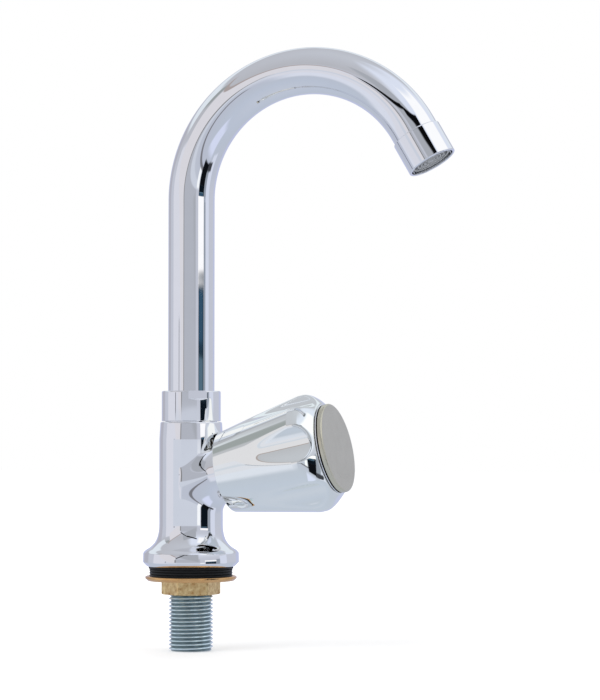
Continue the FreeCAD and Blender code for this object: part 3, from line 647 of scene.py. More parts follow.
outlet, _ = swan_neck(np.array([CAGE_MOUTH - GRILLE_DEPTH]))
to_outlet = Matrix.Translation(Vector(outlet[0]) * MM) @ Matrix.Rotation(BEND, 4, "Y")
grille.data.transform(to_outlet)
add_to(cage, grille)
dress(cage, "aerator_cage", moulding, "spout")

# %% [markdown]
# ## The body casting
#
# The body is a turned pillar on a flared foot, with a boss that leaves it at 12 degrees for the
# handle. Where the boss meets the pillar the casting is rounded, wide at the foot and narrow at
# the top. On chrome the smallest dent in that rounding would show, so it isn't left to a
# modifier. The pillar is a grid, a window is left in it, and a second grid is stretched from the
# window's frame over the rounding to the boss's end. Its points are then moved onto the exact
# surface: the place where a formula for the rounded union of two cylinders is zero.

# %% Pillar profile
BODY_R = 15.1
BODY_TOP = 68.3
DRAFT = 0.5
DRAFT_FOOT = 60.3
FLANGE_R = 22.8
FLANGE_FOOT_R = 20.9
FLANGE_TOP = 6.0
FLARE_R = 21.1
FLARE_FOOT = 7.9
FLARE_TOP = 20.0
GASKET_SEAT_R = 20.25
GASKET_SEAT = 1.0
SHANK_HOLE_R = 10.53
SHANK_HOLE_TOP = 14.5
INLET_R = 8.0
INLET_TOP = 27.0
NECK_R = 12.2
NECK_TOP = 78.3
SOCKET_R = 9.6
SOCKET_FOOT = 57.5
WINDOW_FOOT = 22.0
WINDOW_TOP = 60.0
WINDOW_ROWS = 48
WINDOW_COLUMNS = 96
AROUND = 192


def curve(*poles, steps=14):
    """Points of a Bezier curve after its start."""
    degree = len(poles) - 1
    share = np.linspace(0, 1, steps + 1)[1:, None]
    return sum(
        math.comb(degree, k) * share**k * (1 - share) ** (degree - k) * np.array(pole, float)
        for k, pole in enumerate(poles)
    )


flare, flare_width = FLARE_TOP - FLARE_FOOT, FLARE_R - BODY_R
window = np.linspace(WINDOW_FOOT, WINDOW_TOP, WINDOW_ROWS + 1)
below_window = np.vstack([
    [(0, INLET_TOP), (INLET_R, INLET_TOP), (INLET_R, SHANK_HOLE_TOP),
     (SHANK_HOLE_R, SHANK_HOLE_TOP), (SHANK_HOLE_R, GASKET_SEAT),
     (GASKET_SEAT_R, GASKET_SEAT), (GASKET_SEAT_R, 0)],
    rounded([(GASKET_SEAT_R, 0), (FLANGE_FOOT_R, 0, 0.15), (FLANGE_R, 1.9, 0.5),
             (FLANGE_R, FLANGE_TOP)])[1:-1],
    curve((FLANGE_R, FLANGE_TOP), (22.41, 6.975), (FLARE_R, FLARE_FOOT), steps=10),
    curve((FLARE_R, FLARE_FOOT), (FLARE_R - 0.6 * flare_width, FLARE_FOOT + 0.16 * flare),
          (BODY_R, FLARE_FOOT + 0.4 * flare), (BODY_R, FLARE_TOP), steps=24),
])
WINDOW_START = len(below_window)
PROFILE = np.vstack([
    below_window,
    np.stack([np.full_like(window, BODY_R), window], axis=1),
    rounded([(BODY_R, DRAFT_FOOT), (BODY_R - DRAFT, BODY_TOP, 0.7), (NECK_R, BODY_TOP),
             (NECK_R, NECK_TOP), (SOCKET_R, NECK_TOP), (SOCKET_R, SOCKET_FOOT),
             (0, SOCKET_FOOT)]),
])
print("pillar profile points:", len(PROFILE), "window from row", WINDOW_START)

# %% Rounded union
KNOB_TILT = math.radians(12)
KNOB_ORIGIN = np.array([0.0, 0.0, 40.5])
ALONG = np.array([math.cos(KNOB_TILT), 0.0, math.sin(KNOB_TILT)])
RISE = np.array([-math.sin(KNOB_TILT), 0.0, math.cos(KNOB_TILT)])
KNOB_AXIS = straight(KNOB_ORIGIN, ALONG)
BOSS_R = 13.0
BOSS_END = 22.337
ROUNDING_FOOT = 5.5
ROUNDING_TOP = 2.2


def casting_field(points):
    """Zero on the rounded union of pillar and boss, negative inside it."""
    to_pillar = np.hypot(points[:, 0], points[:, 1]) - BODY_R
    arm = points - KNOB_ORIGIN
    arm = arm - (arm @ ALONG)[:, None] * ALONG
    radius = np.linalg.norm(arm, axis=1)
    to_boss = radius - BOSS_R
    height = (arm @ RISE) / np.maximum(radius, 1e-9)
    reach = ROUNDING_TOP + (ROUNDING_FOOT - ROUNDING_TOP) * (0.5 - 0.5 * height)
    return np.maximum(reach, np.minimum(to_pillar, to_boss)) - np.hypot(
        np.maximum(reach - to_pillar, 0), np.maximum(reach - to_boss, 0)
    )


def onto_surface(points, field, rounds=12, reach=1e-4):
    """Moves points along the field's slope until the field is zero."""
    for _ in range(rounds):
        slope = np.stack(
            [(field(points + reach * axis) - field(points - reach * axis)) / (2 * reach)
             for axis in np.eye(3)],
            axis=1,
        )
        steepness = np.maximum((slope**2).sum(axis=1), 1e-6)
        points = points - (field(points) / steepness)[:, None] * slope
    return points


# %% Boss lines
def boss_point(distance, angle):
    """Points on the boss, each at a distance from the pillar's axis."""
    side, rise = BOSS_R * np.cos(angle), BOSS_R * np.sin(angle)
    return (
        KNOB_ORIGIN + distance[:, None] * ALONG + side[:, None] * ACROSS + rise[:, None] * RISE
    )


def crease(angle):
    """Where the boss's straight lines would meet the pillar without a rounding."""
    side, rise = BOSS_R * np.cos(angle), BOSS_R * np.sin(angle)
    depth = np.sqrt(BODY_R**2 - side**2)
    return boss_point((depth + rise * math.sin(KNOB_TILT)) / math.cos(KNOB_TILT), angle)


def unrolled(points):
    """Length around the pillar and height."""
    return BODY_R * np.arctan2(points[:, 1], points[:, 0]), points[:, 2]


def on_pillar(length, height):
    """Points on the pillar, the reverse of unrolled."""
    turn = length / BODY_R
    return np.stack([BODY_R * np.cos(turn), BODY_R * np.sin(turn), height], axis=-1)


def boss_angles(length, height):
    """For places on the window's frame: the angle of the boss line that each one meets."""
    dense = np.linspace(-math.pi, math.pi, 4001)
    crease_length, crease_height = unrolled(crease(dense))
    middle = 0.5 * (crease_height.min() + crease_height.max())
    seen = np.unwrap(np.arctan2(crease_height - middle, crease_length))
    wanted = np.arctan2(height - middle, length)
    wanted = seen[0] + np.mod(wanted - seen[0], 2 * np.pi)
    return np.interp(wanted, seen, dense)


# %% Window patch
HALF_WINDOW = WINDOW_COLUMNS // 2
OUTWARD_STEPS = 24
ALONG_STEPS = 16
CASTING_SHARP = 35.0


def window_frame():
    """Grid places (row, column) around the window, anticlockwise seen from outside."""
    half = HALF_WINDOW
    top, bottom = WINDOW_START + WINDOW_ROWS, WINDOW_START
    places = [(row, half) for row in range(bottom, top)]
    places += [(top, column) for column in range(half, -half, -1)]
    places += [(row, -half) for row in range(top, bottom, -1)]
    places += [(bottom, column) for column in range(-half, half)]
    return places


def pillar_grid():
    """Points and faces of the turned pillar, without the window's faces."""
    points, faces = lathe(PROFILE, PILLAR, AROUND)
    row, column = np.divmod(np.arange(len(faces)), AROUND)
    in_rows = (row >= WINDOW_START) & (row < WINDOW_START + WINDOW_ROWS)
    in_columns = (column + HALF_WINDOW) % AROUND < WINDOW_COLUMNS
    return points, faces[~(in_rows & in_columns)]


def body_grid():
    """Points and faces of pillar and boss as one closed surface."""
    points, faces = pillar_grid()
    frame_ids = [row * AROUND + column % AROUND for row, column in window_frame()]
    length, height = unrolled(points[frame_ids])
    angle = boss_angles(length, height)
    foot = crease(angle)
    foot_distance = (foot - KNOB_ORIGIN) @ ALONG
    foot_length, foot_height = unrolled(foot)
    layers = []
    for step in range(1, OUTWARD_STEPS):
        share = step / OUTWARD_STEPS
        share = share + 0.25 * share * (1 - share)
        layers.append(on_pillar(length + (foot_length - length) * share,
                                height + (foot_height - height) * share))
    for step in range(ALONG_STEPS + 1):
        distance = foot_distance + (BOSS_END - foot_distance) * (step / ALONG_STEPS)
        layers.append(boss_point(distance, angle))
    layers[:-1] = [onto_surface(layer, casting_field) for layer in layers[:-1]]
    new_ids = len(points) + np.arange(len(layers) * len(angle)).reshape(len(layers), -1)
    ids = np.vstack([frame_ids, new_ids])
    beside = np.roll(ids, -1, axis=1)
    quads = np.stack([ids[:-1], beside[:-1], beside[1:], ids[1:]], axis=-1).reshape(-1, 4)
    return np.vstack([points, *layers]), [*faces, *quads, ids[-1]]


casting = make_mesh("body_chromed", *body_grid(), CASTING_SHARP)
print("casting faces:", len(casting.data.polygons), "open edges:", open_edges(casting))

# %% [markdown]
# The socket for the spout and the hole for the shank are turned, so they are part of the
# profile. The valve's chamber lies across the pillar and the two water ways run beside its
# axis, so these are cut with turned bars. A cut only changes the faces that it touches, so the
# outside stays smooth.

# %% Water ways
SEAT_BORE_R = 4.5
SEAT_RING_R = 6.0
CHAMBER_R = 8.8
HEADWORK_R = 10.53
HEADWORK_FOOT = 11.337


def cut(piece, cutters):
    """Takes cutters out of a piece."""
    for points, faces in cutters:
        tool = make_mesh("cutter", points, faces)
        modifier = piece.modifiers.new("cut", "BOOLEAN")
        modifier.operation = "DIFFERENCE"
        modifier.solver = "EXACT"
        modifier.object = tool
        mesh = baked(piece)
        piece.modifiers.clear()
        piece.data = mesh
        bpy.data.objects.remove(tool)
    piece.data.shade_smooth()
    piece.data.set_sharp_from_angle(angle=math.radians(CASTING_SHARP))


def bar(x, y, radius, low, high):
    """A plain upright bar to cut with."""
    profile = np.array([(0, low), (radius, low), (radius, high), (0, high)])
    return lathe(profile, straight((x, y, 0), UP), 96)


chamber = np.array([
    (0, -6.5), (SEAT_BORE_R, -6.5), (SEAT_BORE_R, 1.5), (SEAT_RING_R, 1.5), (SEAT_RING_R, 0),
    (CHAMBER_R, 0), (CHAMBER_R, HEADWORK_FOOT), (HEADWORK_R, HEADWORK_FOOT),
    (HEADWORK_R, BOSS_END + 1), (0, BOSS_END + 1),
])
inlet_way = bar(-6.5, 0.02, 4.5, low=22.5, high=40.5)
outlet_way = bar(3.0, 0, 5.0, low=47.8, high=58.0)
cut(casting, [lathe(chamber, KNOB_AXIS, 96), inlet_way, outlet_way])
dress(casting, "body_casting", plate, "tap_body")

# %% [markdown]
# ## The handle
#
# The knob flares from its rim to a broad band and has six flutes, as if round bars had been
# pressed into it side by side. Its wall is as thick behind the flutes as elsewhere. A boolean
# would leave knife edges, and the real casting is polished until they are soft. So the radius of
# each point is worked out: the place along its ray where the wall and a flute meet, rounded off
# by a millimetre or so. The field is negative inside the metal, and halving finds its zero.

# %% Flutes
FLUTES = 6
FLUTE_CENTRE_R = 34.3
FLUTE_R = 11.3
FLUTE_TURN = math.radians(-100)
HALVINGS = 40
INNERMOST = 5.0


def from_middle(angle, pitch, start):
    """An angle as measured from the middle of the sector that it lies in."""
    return np.mod(angle - start, pitch) - pitch / 2


def fluted(radius, angle, flute_r, soft):
    """The radius of a fluted wall, for rows of wall radii and columns of angles."""
    pitch = 2 * math.pi / FLUTES
    turn = from_middle(angle, pitch, FLUTE_TURN - pitch / 2)
    high = radius[:, None] + 0 * turn
    low = np.full_like(high, INNERMOST)
    for _ in range(HALVINGS):
        middle = (low + high) / 2
        to_wall = middle - radius[:, None] + soft
        across = np.hypot(middle * np.cos(turn) - FLUTE_CENTRE_R, middle * np.sin(turn))
        to_flute = flute_r - across + soft
        field = np.hypot(np.maximum(to_wall, 0), np.maximum(to_flute, 0)) - soft
        field = field + np.minimum(np.maximum(to_wall, to_flute), 0)
        low = np.where(field < 0, middle, low)
        high = np.where(field < 0, high, middle)
    return (low + high) / 2


# %% Knob
KNOB_WALL = 2.3
KNOB_RIM = (19.2, 19.621)
KNOB_BAND = (27.7, 60.921)
KNOB_SHOULDER = (27.7, 63.521)
KNOB_END = (21.7, 72.121)
RECESS_R = 18.5
WEB_FOOT = 65.321
WEB_TOP = 68.321
SCREW_HOLE_R = 2.75
HUB_R = 8.0
HUB_BORE_R = 6.03
HUB_FOOT = 48.321
SOFT_OUTSIDE = 1.3
SOFT_INSIDE = 0.4


def knob_profile():
    """The knob's closed profile in three stretches. The first and last are fluted walls."""
    rim = rounded([(17.6, KNOB_RIM[1]), (*KNOB_RIM, 0.6), KNOB_BAND])[1:-1]
    band = rounded([KNOB_RIM, (*KNOB_BAND, 2.2), KNOB_SHOULDER], 9)[1:-1]
    wall_rows = np.linspace(rim[-1], band[0], 46)[1:-1]
    shoulder = curve(KNOB_SHOULDER, (27.7, 66.961), (24.7, 69.971), KNOB_END, steps=22)
    outside = np.vstack([rim, wall_rows, band, [KNOB_SHOULDER], shoulder])
    middle = rounded([
        (RECESS_R, KNOB_END[1], 0.15), (RECESS_R, WEB_TOP), (SCREW_HOLE_R, WEB_TOP),
        (SCREW_HOLE_R, WEB_FOOT), (HUB_BORE_R, WEB_FOOT), (HUB_BORE_R, HUB_FOOT),
        (HUB_R, HUB_FOOT, 0.2), (HUB_R, WEB_FOOT),
    ])
    inner_top = KNOB_BAND[0] - KNOB_WALL
    inner_rim = (KNOB_RIM[0] - KNOB_WALL, KNOB_RIM[1])
    wall_inside = np.linspace((inner_top, KNOB_BAND[1]), inner_rim, 40)
    return outside, middle, np.vstack([[(inner_top, WEB_FOOT)], wall_inside])


def knob_mesh():
    """The fluted knob."""
    outside, middle, inside = knob_profile()
    angle = angles(432)
    radii = np.vstack([
        fluted(outside[:, 0], angle, FLUTE_R, SOFT_OUTSIDE),
        np.repeat(middle[:, :1], len(angle), axis=1),
        fluted(inside[:, 0], angle, FLUTE_R + KNOB_WALL, SOFT_INSIDE),
    ])
    rows = np.vstack([outside, middle, inside])
    return make_mesh("fluted_knob", *lathe(rows, KNOB_AXIS, len(angle), radii), sharp=50)


dress(knob_mesh(), "handle_knob", knob_plate, "handle")

# %% [markdown]
# The cap on the knob's end is satin plate. Its dull look comes from very fine turning marks in
# rings around its middle, so its finish needs to know how far a point lies from the knob's axis.
# A Mapping node brings the pattern's zero to that axis and turns it with it.

# %% Ring marks
def on_knob(net):
    """Coordinates whose Z axis is the knob's."""
    return place(net, Vector(KNOB_ORIGIN) * MM, (0, math.pi / 2 - KNOB_TILT, 0))


def from_axis(net, spot):
    """How far a point lies from the pattern's own Z axis, in metres."""
    flat = net.vector_maths("MULTIPLY", spot, (1.0, 1.0, 0.0))
    return net.vector_maths("LENGTH", flat, output=1)


def ring_marks(net, spot, fineness):
    """A value that changes with the distance from the pattern's Z axis, in marks per mm."""
    far = from_axis(net, spot) * (fineness / MM)
    inputs = {"W": far, "Scale": 1.0, "Detail": 3.0, "Roughness": 0.7}
    return net.node("ShaderNodeTexNoise", {"noise_dimensions": "1D"}, inputs)


def satin_finish():
    """Satin nickel plate with turned rings."""
    material, net = new_finish("turned_satin_plate")
    spot = on_knob(net)
    rings = ring_marks(net, spot, 9.0)
    cloud = noise(net, spot, 120.0, detail=3.0)
    colour = blend_colours(net, cloud, (0.60, 0.562, 0.44), (0.715, 0.677, 0.54))
    rough = ramp(net, rings, [(0.3, 0.26), (0.7, 0.36)])
    surface(net, colour, rough, normal=bump(net, rings, 0.004))
    return material


# %% Cap
CAP_R = 21.0
CAP_FOOT = 73.521
CAP_TOP = 75.721
CAP_SPIGOT_R = 18.4
SPIGOT_BORE_R = 17.2
SPIGOT_END = WEB_TOP + 0.1

satin = satin_finish()
cap = turned("cap_disc", [
    (0.0, CAP_TOP), (CAP_R, CAP_TOP, 0.9), (CAP_R, CAP_FOOT, 0.15), (CAP_SPIGOT_R, CAP_FOOT),
    (CAP_SPIGOT_R, SPIGOT_END), (SPIGOT_BORE_R, SPIGOT_END), (SPIGOT_BORE_R, CAP_FOOT),
    (0.0, CAP_FOOT),
], KNOB_AXIS, 192, steps=7)
dress(cap, "handle_cap", satin, "handle")

# %% [markdown]
# A bright ring lies between the knob and the cap, with a groove on each side of it. The ring's
# finish turns black and dull at the grooves' depth, a painted shade where the grooves are dark.

# %% Cap ring
TRIM_R = 21.2
GROOVE_R = 20.1
GROOVE_BELOW = 0.3
GROOVE_ABOVE = 0.6
# Painted shade: inside this radius the ring's finish is black and dull, for the dark of the
# grooves.
GROOVE_SHADE_R = 20.5
BRIGHT_R = 20.8
FULL_R = 22.0


def ring_finish():
    """Bright plate on the band, painted black shade in the grooves beside it."""
    material, net = new_finish("grooved_ring_plate")
    away = from_axis(net, on_knob(net)) / (FULL_R * MM)
    # Painted shade in the grooves: black and dull at their depth, bright plate on the band.
    shaded, unshaded = GROOVE_SHADE_R / FULL_R, BRIGHT_R / FULL_R
    bright = ramp(net, away, [(shaded, 0.0), (unshaded, 1.0)])
    colour = blend_colours(net, bright, (0.012, 0.012, 0.014), CHROME)
    surface(net, colour, ramp(net, away, [(shaded, 0.6), (unshaded, 0.03)]))
    return material


band_foot, band_top = KNOB_END[1] + GROOVE_BELOW, CAP_FOOT - GROOVE_ABOVE
trim = turned("trim_ring", [
    (RECESS_R, KNOB_END[1]), (GROOVE_R, KNOB_END[1]), (GROOVE_R, band_foot),
    (TRIM_R, band_foot, 0.15), (TRIM_R, band_top, 0.15), (GROOVE_R, band_top),
    (GROOVE_R, CAP_FOOT), (RECESS_R, CAP_FOOT),
], KNOB_AXIS, 192)
dress(trim, "cap_ring", ring_finish(), "handle")

# %% [markdown]
# ## Under the deck
#
# The shank's thread is a half-inch pipe thread: its ridge rises 1.814 mm with each turn, and its
# crests and roots are round. That is a rule, so Geometry Nodes make it. A flat grid is rolled up:
# one side of the grid runs around the shank, the other along it, and the radius of each point
# follows a wave that shifts by one pitch for each turn. The last rows of the grid go back down
# inside the shank, so the mesh closes when its seam is merged.

# %% Thread tree
CREST_R = 10.4775
THREAD_DEPTH = 1.162
THREAD = {"Crest radius": CREST_R * MM, "Thread depth": THREAD_DEPTH * MM, "Pitch": 1.814 * MM,
          "Bore radius": 7.2 * MM, "Chamfer": 1.0 * MM, "Foot": -39.8 * MM, "Top": 13.0 * MM}
THREAD_ROWS = 330
THREAD_COLUMNS = 121


def thread_tree():
    """A threaded pipe that stands on Z."""
    tree, net, size = new_tree("pipe_thread", THREAD)
    grid = {"Size X": 1.0, "Size Y": 1.0, "Vertices X": THREAD_COLUMNS,
            "Vertices Y": THREAD_ROWS}
    sheet = net.node("GeometryNodeMeshGrid", None, grid)
    spot = net.node("ShaderNodeSeparateXYZ", None, [net.node("GeometryNodeInputPosition")], None)
    turns = spot["X"] + 0.5
    row = (spot["Y"] + 0.5) * (THREAD_ROWS - 1.0)
    top_row = THREAD_ROWS - 4.0
    share = net.maths("MINIMUM", row / top_row, 1.0)
    share = share * net.maths("LESS_THAN", row, top_row + 1.5)
    in_bore = net.maths("GREATER_THAN", row, top_row + 0.5)
    in_bore = in_bore * net.maths("LESS_THAN", row, top_row + 2.5)
    height = size["Foot"] + (size["Top"] - size["Foot"]) * share
    wave = net.maths("COSINE", (height / size["Pitch"] - turns) * (2 * math.pi))
    radius = size["Crest radius"] - size["Thread depth"] * (0.5 - 0.5 * wave)
    chamfer = size["Crest radius"] - size["Chamfer"] + (height - size["Foot"])
    radius = net.maths("MINIMUM", radius, chamfer)
    radius = radius * (1.0 - in_bore) + size["Bore radius"] * in_bore
    angle = turns * (2 * math.pi)
    rolled = offset(
        net, radius * net.maths("COSINE", angle), radius * net.maths("SINE", angle), height
    )
    pipe = net.node("GeometryNodeSetPosition", None, {"Geometry": sheet, "Position": rolled})
    seam = {"Geometry": pipe, "Distance": 0.002 * MM}
    closed = net.node("GeometryNodeMergeByDistance", None, seam)
    smooth = net.node("GeometryNodeSetShadeSmooth", None, [closed])
    finish_tree(net, smooth, size["Finish"])
    return tree


# %% [markdown]
# Zinc plate is a soft bright metal with a bluish cast. It is duller than chrome, and the plating
# bath leaves it cloudy. The thread's crests carry a painted highlight and its roots a dark, dull
# painted shade, so the finish follows the radius.

# %% Threaded shank
FULL_SHANK_R = 12.0


def zinc_finish():
    """Zinc plate: cloudy, with a painted highlight on the thread's crests and dark, dull painted
    shade in its roots.
    """
    material, net = new_finish("zinc_plate")
    spot = place(net)
    cloud = noise(net, spot, 160.0, detail=4.0, roughness=0.6)
    away = from_axis(net, spot) / (FULL_SHANK_R * MM)
    root, crest = (CREST_R - THREAD_DEPTH) / FULL_SHANK_R, CREST_R / FULL_SHANK_R
    # Painted shade in the thread's roots and a painted highlight on its crests: colour and gloss
    # follow the radius.
    painted_crest_light = ramp(net, away, [(root + 0.01, 0.0), (crest - 0.012, 1.0)])
    light = blend_colours(net, cloud, (0.66, 0.77, 0.79), (0.86, 0.95, 0.96))
    dark = blend_colours(net, cloud, (0.26, 0.32, 0.33), (0.38, 0.46, 0.47))
    colour = blend_colours(net, painted_crest_light, dark, light)
    gloss = ramp(net, painted_crest_light, [(0.0, 0.34), (1.0, 0.13)])
    surface(net, colour, gloss, normal=bump(net, cloud, 0.01))
    return material


zinc = zinc_finish()
shank = grow("shank_thread", thread_tree(), zinc)
shank.data.set_sharp_from_angle(angle=math.radians(50))
dress(shank, "threaded_shank", zinc, "tap_body")

# %% [markdown]
# The nut is sand cast and only its faces are machined, so its flats are rough and its corners
# are blunt. Its shape is another radius found by rule: a turned blank, cut by six flats. Brass
# differs with how it was worked, so one helper makes every plain metal from two shades, the
# range of its gloss, its grain and, where it was turned, its rings.

# %% Metal finish
def metal_finish(name, light, dark, rough, grain, height, rings=0.0, patches=90.0):
    """Plain metal: two shades in clouds, uneven gloss, a grain and, if asked, turned rings."""
    material, net = new_finish(name)
    spot = place(net)
    cloud = noise(net, spot, patches, detail=4.0, roughness=0.6)
    fine = noise(net, spot, grain, detail=4.0, roughness=0.65)
    colour = blend_colours(net, ramp(net, cloud, [(0.3, 0.0), (0.7, 1.0)]), dark, light)
    gloss = ramp(net, fine, [(0.3, rough[0]), (0.7, rough[1])])
    relief = fine + ring_marks(net, spot, rings) if rings else fine
    surface(net, colour, gloss, normal=bump(net, relief, height))
    return material


cast = metal_finish(
    "sand_cast_brass", (1.0, 0.79, 0.41), (0.50, 0.28, 0.10), (0.24, 0.44),
    grain=420.0, height=0.14, patches=420.0,
)
print("finish:", cast.name)

# %% Backnut
NUT_FLAT = 24.6 / 2
NUT_CORNER = NUT_FLAT / math.cos(math.pi / 6)
NUT_FOOT = -13.32
NUT_TOP = -7.02
NUT_TURN = math.radians(26)
NUT_BORE = 10.5275
NUT_BLUNT = 0.9
NUT_CHAMFER = 0.45


def hexagonal(radius, angle):
    """The radius of a blank cut by six flats, with blunt corners."""
    pitch = math.pi / 3
    turn = from_middle(angle, pitch, NUT_TURN)
    to_flat = NUT_FLAT / np.cos(turn)
    gap = (NUT_FLAT / np.cos(pitch - np.abs(turn)) - to_flat) / NUT_BLUNT
    to_flat = to_flat - 0.25 * NUT_BLUNT * np.maximum(1 - np.abs(gap), 0) ** 2
    return np.minimum(radius[:, None], to_flat[None, :])


def nut_mesh():
    """A blank with a chamfered foot, cut by six flats, around its bore."""
    inner, face = (NUT_CORNER - 1.9, NUT_FOOT), (NUT_CORNER - 0.9, NUT_FOOT)
    chamfer, top = (NUT_CORNER, NUT_FOOT + NUT_CHAMFER), (NUT_CORNER, NUT_TOP - 0.2)
    outside = np.vstack([
        np.linspace(inner, face, 6), np.linspace(face, chamfer, 9)[1:],
        np.linspace(chamfer, top, 12)[1:], [(NUT_CORNER - 0.2, NUT_TOP)],
    ])
    bore = np.array([(NUT_BORE, NUT_TOP), (NUT_BORE, NUT_FOOT)])
    angle = angles(360)
    bore_radii = np.repeat(bore[:, :1], len(angle), axis=1)
    radii = np.vstack([hexagonal(outside[:, 0], angle), bore_radii])
    rows = np.vstack([outside, bore])
    return make_mesh("brass_nut", *lathe(rows, PILLAR, len(angle), radii), sharp=30)


dress(nut_mesh(), "backnut", cast, "backnut")

# %% [markdown]
# The washer is pressed from sheet, and its rim is rolled up. The gasket is moulded with a lip
# that lies in the flange and three ridges below it. Both are turned forms.

# %% Washer
WASHER_BORE_R = 10.8775
WASHER_R = 21.7
WASHER_FOOT = -6.9
WASHER_TOP = -5.4

rolled = metal_finish(
    "rolled_sheet_brass", (0.85, 0.51, 0.23), (0.71, 0.39, 0.15), (0.14, 0.28),
    grain=500.0, height=0.02, rings=3.0,
)
washer = turned("rolled_washer", [
    (WASHER_BORE_R, WASHER_FOOT, 0.1), (20.4, WASHER_FOOT, 0.3), (WASHER_R, -5.75, 0.55),
    (WASHER_R, -4.9, 0.3), (21.05, -4.6, 0.3), (19.6, WASHER_TOP, 0.3),
    (WASHER_BORE_R, WASHER_TOP, 0.1),
], PILLAR, 192)
dress(washer, "clamp_washer", rolled, "clamp_washer")

# %% Gasket
GASKET_BORE_R = 10.6275
LIP = 20.1
LIP_FOOT = -1.2
GASKET_FOOT = -5.1
RIDGES = 3
RIDGE_R = 19.7
VALLEY_R = 19.35
RIDGE = (LIP_FOOT - GASKET_FOOT) / RIDGES

gasket_corners = [
    (GASKET_BORE_R, 1.0), (LIP, 1.0, 0.2), (LIP, LIP_FOOT, 0.3), (VALLEY_R, LIP_FOOT),
]
for ridge in range(RIDGES):
    top = LIP_FOOT - ridge * RIDGE
    gasket_corners += [(RIDGE_R, top - 0.25 * RIDGE, 0.15), (RIDGE_R, top - 0.75 * RIDGE, 0.15),
                       (VALLEY_R, top - RIDGE)]
gasket_corners.append((GASKET_BORE_R, GASKET_FOOT))

rubber = moulded_finish(
    "moulded_rubber", (0.004, 0.005, 0.006), (0.016, 0.016, 0.017), (0.36, 0.55),
    stains=220.0, detail=4.0, grain=2500.0, height=0.03, IOR=1.3,
)
gasket = turned("rubber_gasket", gasket_corners, PILLAR, 192, steps=3, hold=0.02)
dress(gasket, "base_gasket", rubber, "tap_body")

# %% [markdown]
# ## The inside
#
# The pieces that nobody sees until the tap is taken apart keep their construction shapes. Each
# gets the finish of its material: bars turned on a lathe show rings, nylon and fibre don't shine,
# and the springy pieces are bright stainless steel.

# %% Inner finishes
def plain_finish(name, light, dark, rough, grain, height):
    """A dull moulded or pressed material in two shades with a grain."""
    material, net = new_finish(name)
    spot = place(net)
    cloud = noise(net, spot, 300.0, detail=4.0)
    fine = noise(net, spot, grain, detail=3.0)
    colour = blend_colours(net, cloud, dark, light)
    gloss = ramp(net, fine, [(0.3, rough[0]), (0.7, rough[1])])
    surface(net, colour, gloss, 0.0, bump(net, fine, height))
    return material


inner_finishes = {
    "turned_brass": metal_finish("bar_turned_brass", (0.84, 0.68, 0.38), (0.76, 0.58, 0.30),
                                 (0.14, 0.28), grain=700.0, height=0.01, rings=4.0),
    "stainless": metal_finish("bright_stainless", (0.64, 0.64, 0.65), (0.54, 0.54, 0.55),
                              (0.14, 0.3), grain=900.0, height=0.008),
    "fibre": plain_finish("pressed_fibre", (0.50, 0.19, 0.13), (0.36, 0.12, 0.08),
                          (0.6, 0.8), grain=1800.0, height=0.05),
    "nylon": plain_finish("moulded_nylon", (0.90, 0.89, 0.85), (0.82, 0.81, 0.76),
                          (0.35, 0.5), grain=1500.0, height=0.015),
    "black_rubber": rubber,
    "grey_plastic": moulding,
}
inner_parts = [part for part in frame["record"]["subparts"] if part["node"] not in dressed]
for part in inner_parts:
    for slot in bpy.data.objects[part["node"]].material_slots:
        slot.material = inner_finishes[part["material_slot"]]
print("inner pieces with a finish:", len(inner_parts))

# %% [markdown]
# ## The studio
#
# Chrome shows the room, so the room decides what the tap looks like. The photograph was taken in
# a light tent over a pale table. Its front is open for the lens, a black strip hangs at the
# right with a bright gap above it, and a lamp shines through the cloth high on the right. Each
# of these is a soft rectangle on the sky, given by its middle, its half size and its edge in
# degrees. A tilt lets its height fall with each degree to the right, for what slopes. Azimuth
# runs from the lens to the right. Only reflections see that tent. The camera, and what it sees
# through clear things, gets plain white, and dull surfaces are lit by an even white and three
# large lamps.

# %% Tent
# The cloth's colours by height: (degrees above the horizon, colour as the chrome shows it).
CLOTH = [
    (-90, (192, 199, 213)), (-50, (185, 194, 210)), (-30, (184, 192, 206)),
    (-15, (184, 190, 205)), (-5, (188, 194, 207)), (1, (192, 196, 208)),
    (12, (192, 196, 208)), (28, (181, 183, 190)), (75, (190, 194, 203)), (90, (192, 196, 204)),
]
